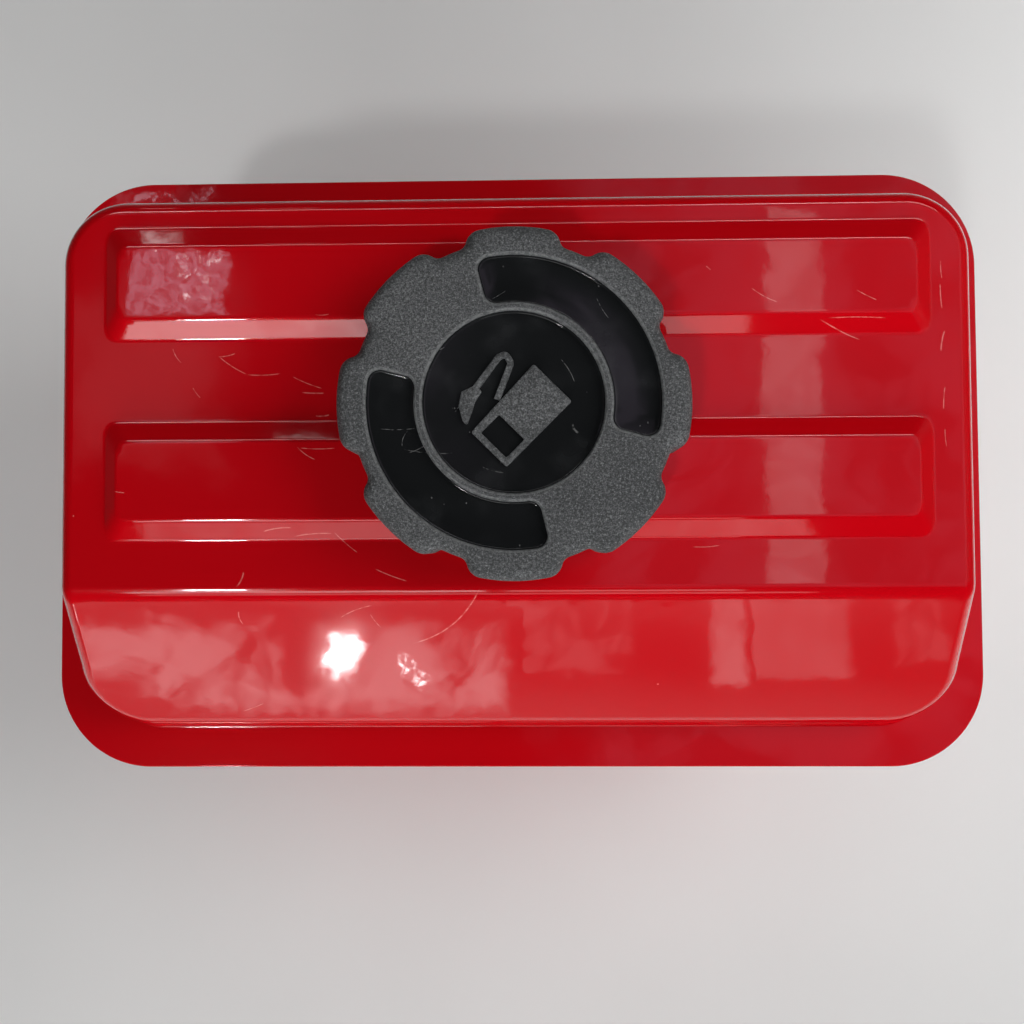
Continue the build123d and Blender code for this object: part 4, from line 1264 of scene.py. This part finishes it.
# %% [markdown]
# The pads' borders and the rounded edges lean forwards or back, so they mirror banks that stand in front of
# the tank or behind it, lower down. Each faces a line just over the top panel.

# %% Lamps in front and behind
above_tank = 0.133
for name, x, y, z, aim_y, size, brightness, folds, rim in (
        ("streak_lamp", -0.425, -0.49, 1.13, 0.02, (0.1, 0.06), 260.0, None, 0.02),
        ("upper_bank", -0.275, -0.6, 0.92, 0.02, (0.46, 0.17), 3.9, (12.0, 0.8, 1.1), 0.02),
        ("upper_bank_right", 0.113, -0.6, 0.92, 0.02, (0.32, 0.17), 1.7, None, 0.03),
        ("lower_bank", -0.075, -0.79, 0.776, -0.024, (0.86, 0.17), 1.2, (10.0, 0.7, 1.2), 0.03),
        ("back_strip", 0.05, 0.66, 0.95, 0.0, (1.3, 0.06), 9.0, (3.0, 0.4, 1.1), None),
        ("far_window", -0.44, 0.955, 0.545, 0.0, (0.06, 0.06), 3.0, (60.0, 0.4, 1.4), 0.012),
        ("far_lamp", -0.276, 0.81, 0.72, 0.0, (0.08, 0.06), 1.6, (60.0, 0.2, 1.6), 0.014)):
    soft_box(name, (x, y, z), (x, aim_y, above_tank), size, brightness, "gloss", folds=folds, rim=rim)

# %% [markdown]
# The sloping front leans by 45 degrees. Seen from above it mirrors the room at its own height, so its lamps
# stand upright in one plane in front of the tank, each given by its two ends and its two levels. Three small
# oval ones, close to the slope, make its glints.

# %% Lamps that are mirrored in the sloping front
bank_y = -0.62
for name, start, end, low, high, brightness, folds, rim in (
        ("slope_left", -0.44, -0.005, -0.005, 0.094, 1.3, (14.0, 0.1, 1.3), 0.03),
        ("slope_left_high", -0.43, -0.02, 0.085, 0.14, 0.3, (20.0, 0.4, 1.3), 0.02),
        ("slope_middle", -0.035, 0.09, 0.03, 0.13, 0.32, (22.0, 0.2, 1.5), 0.014),
        ("slope_right_edge", 0.142, 0.18, 0.025, 0.14, 1.1, (20.0, 0.7, 1.1), 0.012),
        ("slope_right", 0.168, 0.264, 0.028, 0.14, 0.6, (12.0, 0.8, 1.1), 0.014),
        ("slope_end", 0.285, 0.345, 0.04, 0.13, 0.3, (20.0, 0.1, 1.2), 0.014),
        ("slope_streak", -0.228, -0.172, 0.0925, 0.1, 26.0, None, 0.003),
        ("corner_streak", -0.475, -0.445, 0.05, 0.14, 26.0, (60.0, 0.1, 1.4), 0.012)):
    middle = ((start + end) / 2, bank_y, (low + high) / 2)
    soft_box(name, middle, (middle[0], 0.0, middle[2]), (end - start, high - low), brightness, "gloss",
             folds=folds, rim=rim)
for name, place, aim, size, brightness, folds, rim in (
        ("glint_lamp", (-0.1168, -0.443, 0.0735), (-0.037, -0.043, 0.118), (0.043, 0.037), 60.0, None, 0.02),
        ("small_glint", (-0.0775, -0.443, 0.067), (-0.02, -0.043, 0.115), (0.018, 0.016), 22.0,
         (260.0, 0.0, 1.2, 0.46), 0.005),
        ("smaller_glint", (-0.068, -0.443, 0.058), (-0.02, -0.043, 0.115), (0.014, 0.018), 22.0,
         (300.0, 0.0, 1.2, 0.46), 0.005)):
    soft_box(name, place, aim, size, brightness, "gloss", folds=folds, rim=rim, oval=True)

# %% [markdown]
# Where the paint mirrors no lamp it mirrors the world. The room is dim, because a bright one would veil the
# deep red with a pale film, and it is a little lighter at the tank's height than overhead.

# %% World
def make_world():
    """A plain dim room, a little lighter at the height of the tank than overhead, where the camera stands."""
    world = bpy.data.worlds.new("studio")
    bpy.context.scene.world = world
    world.use_nodes = True
    tree = world.node_tree
    direction = wire(tree, "TexCoord").outputs["Generated"]
    height = wire(tree, "SeparateXYZ", Vector=direction).outputs["Z"]
    shade = between(tree, height, 0.0, 0.5, 0.04, 0.008)
    back = tree.nodes["Background"]
    tree.links.new(shade, back.inputs["Strength"])
    back.inputs["Color"].default_value = (1.0, 0.995, 0.985, 1.0)
    print("world", world.name)


make_world()

# %% [markdown]
# ## Camera
#
# The camera looks nearly straight down from about 19 centimetres above the cap, a little in front of the
# middle. Its place and its three small turns are fixed numbers, in metres and degrees, and its lens follows
# from a focal length in pixels.

# %% Camera
camera = bpy.data.objects.new("camera", bpy.data.cameras.new("camera"))
bpy.context.scene.collection.objects.link(camera)
bpy.context.scene.camera = camera
sensor, focal_px, frame_px = 36.0, 986, 1024
camera.data.sensor_width = sensor
camera.data.lens = sensor * focal_px / frame_px
camera.data.clip_start = 0.01
camera.location = (0.00451, -0.01942, 0.34222)
camera.rotation_euler = [math.radians(turn) for turn in (1.963, 1.306, -0.313)]
bpy.context.scene.view_settings.view_transform = "Standard"
print("lens of", round(camera.data.lens, 2), "mm at", tuple(camera.location))

# %% [markdown]
# Last, the view layer is brought up to date.

# %% Bring the view layer up to date
bpy.context.view_layer.update()
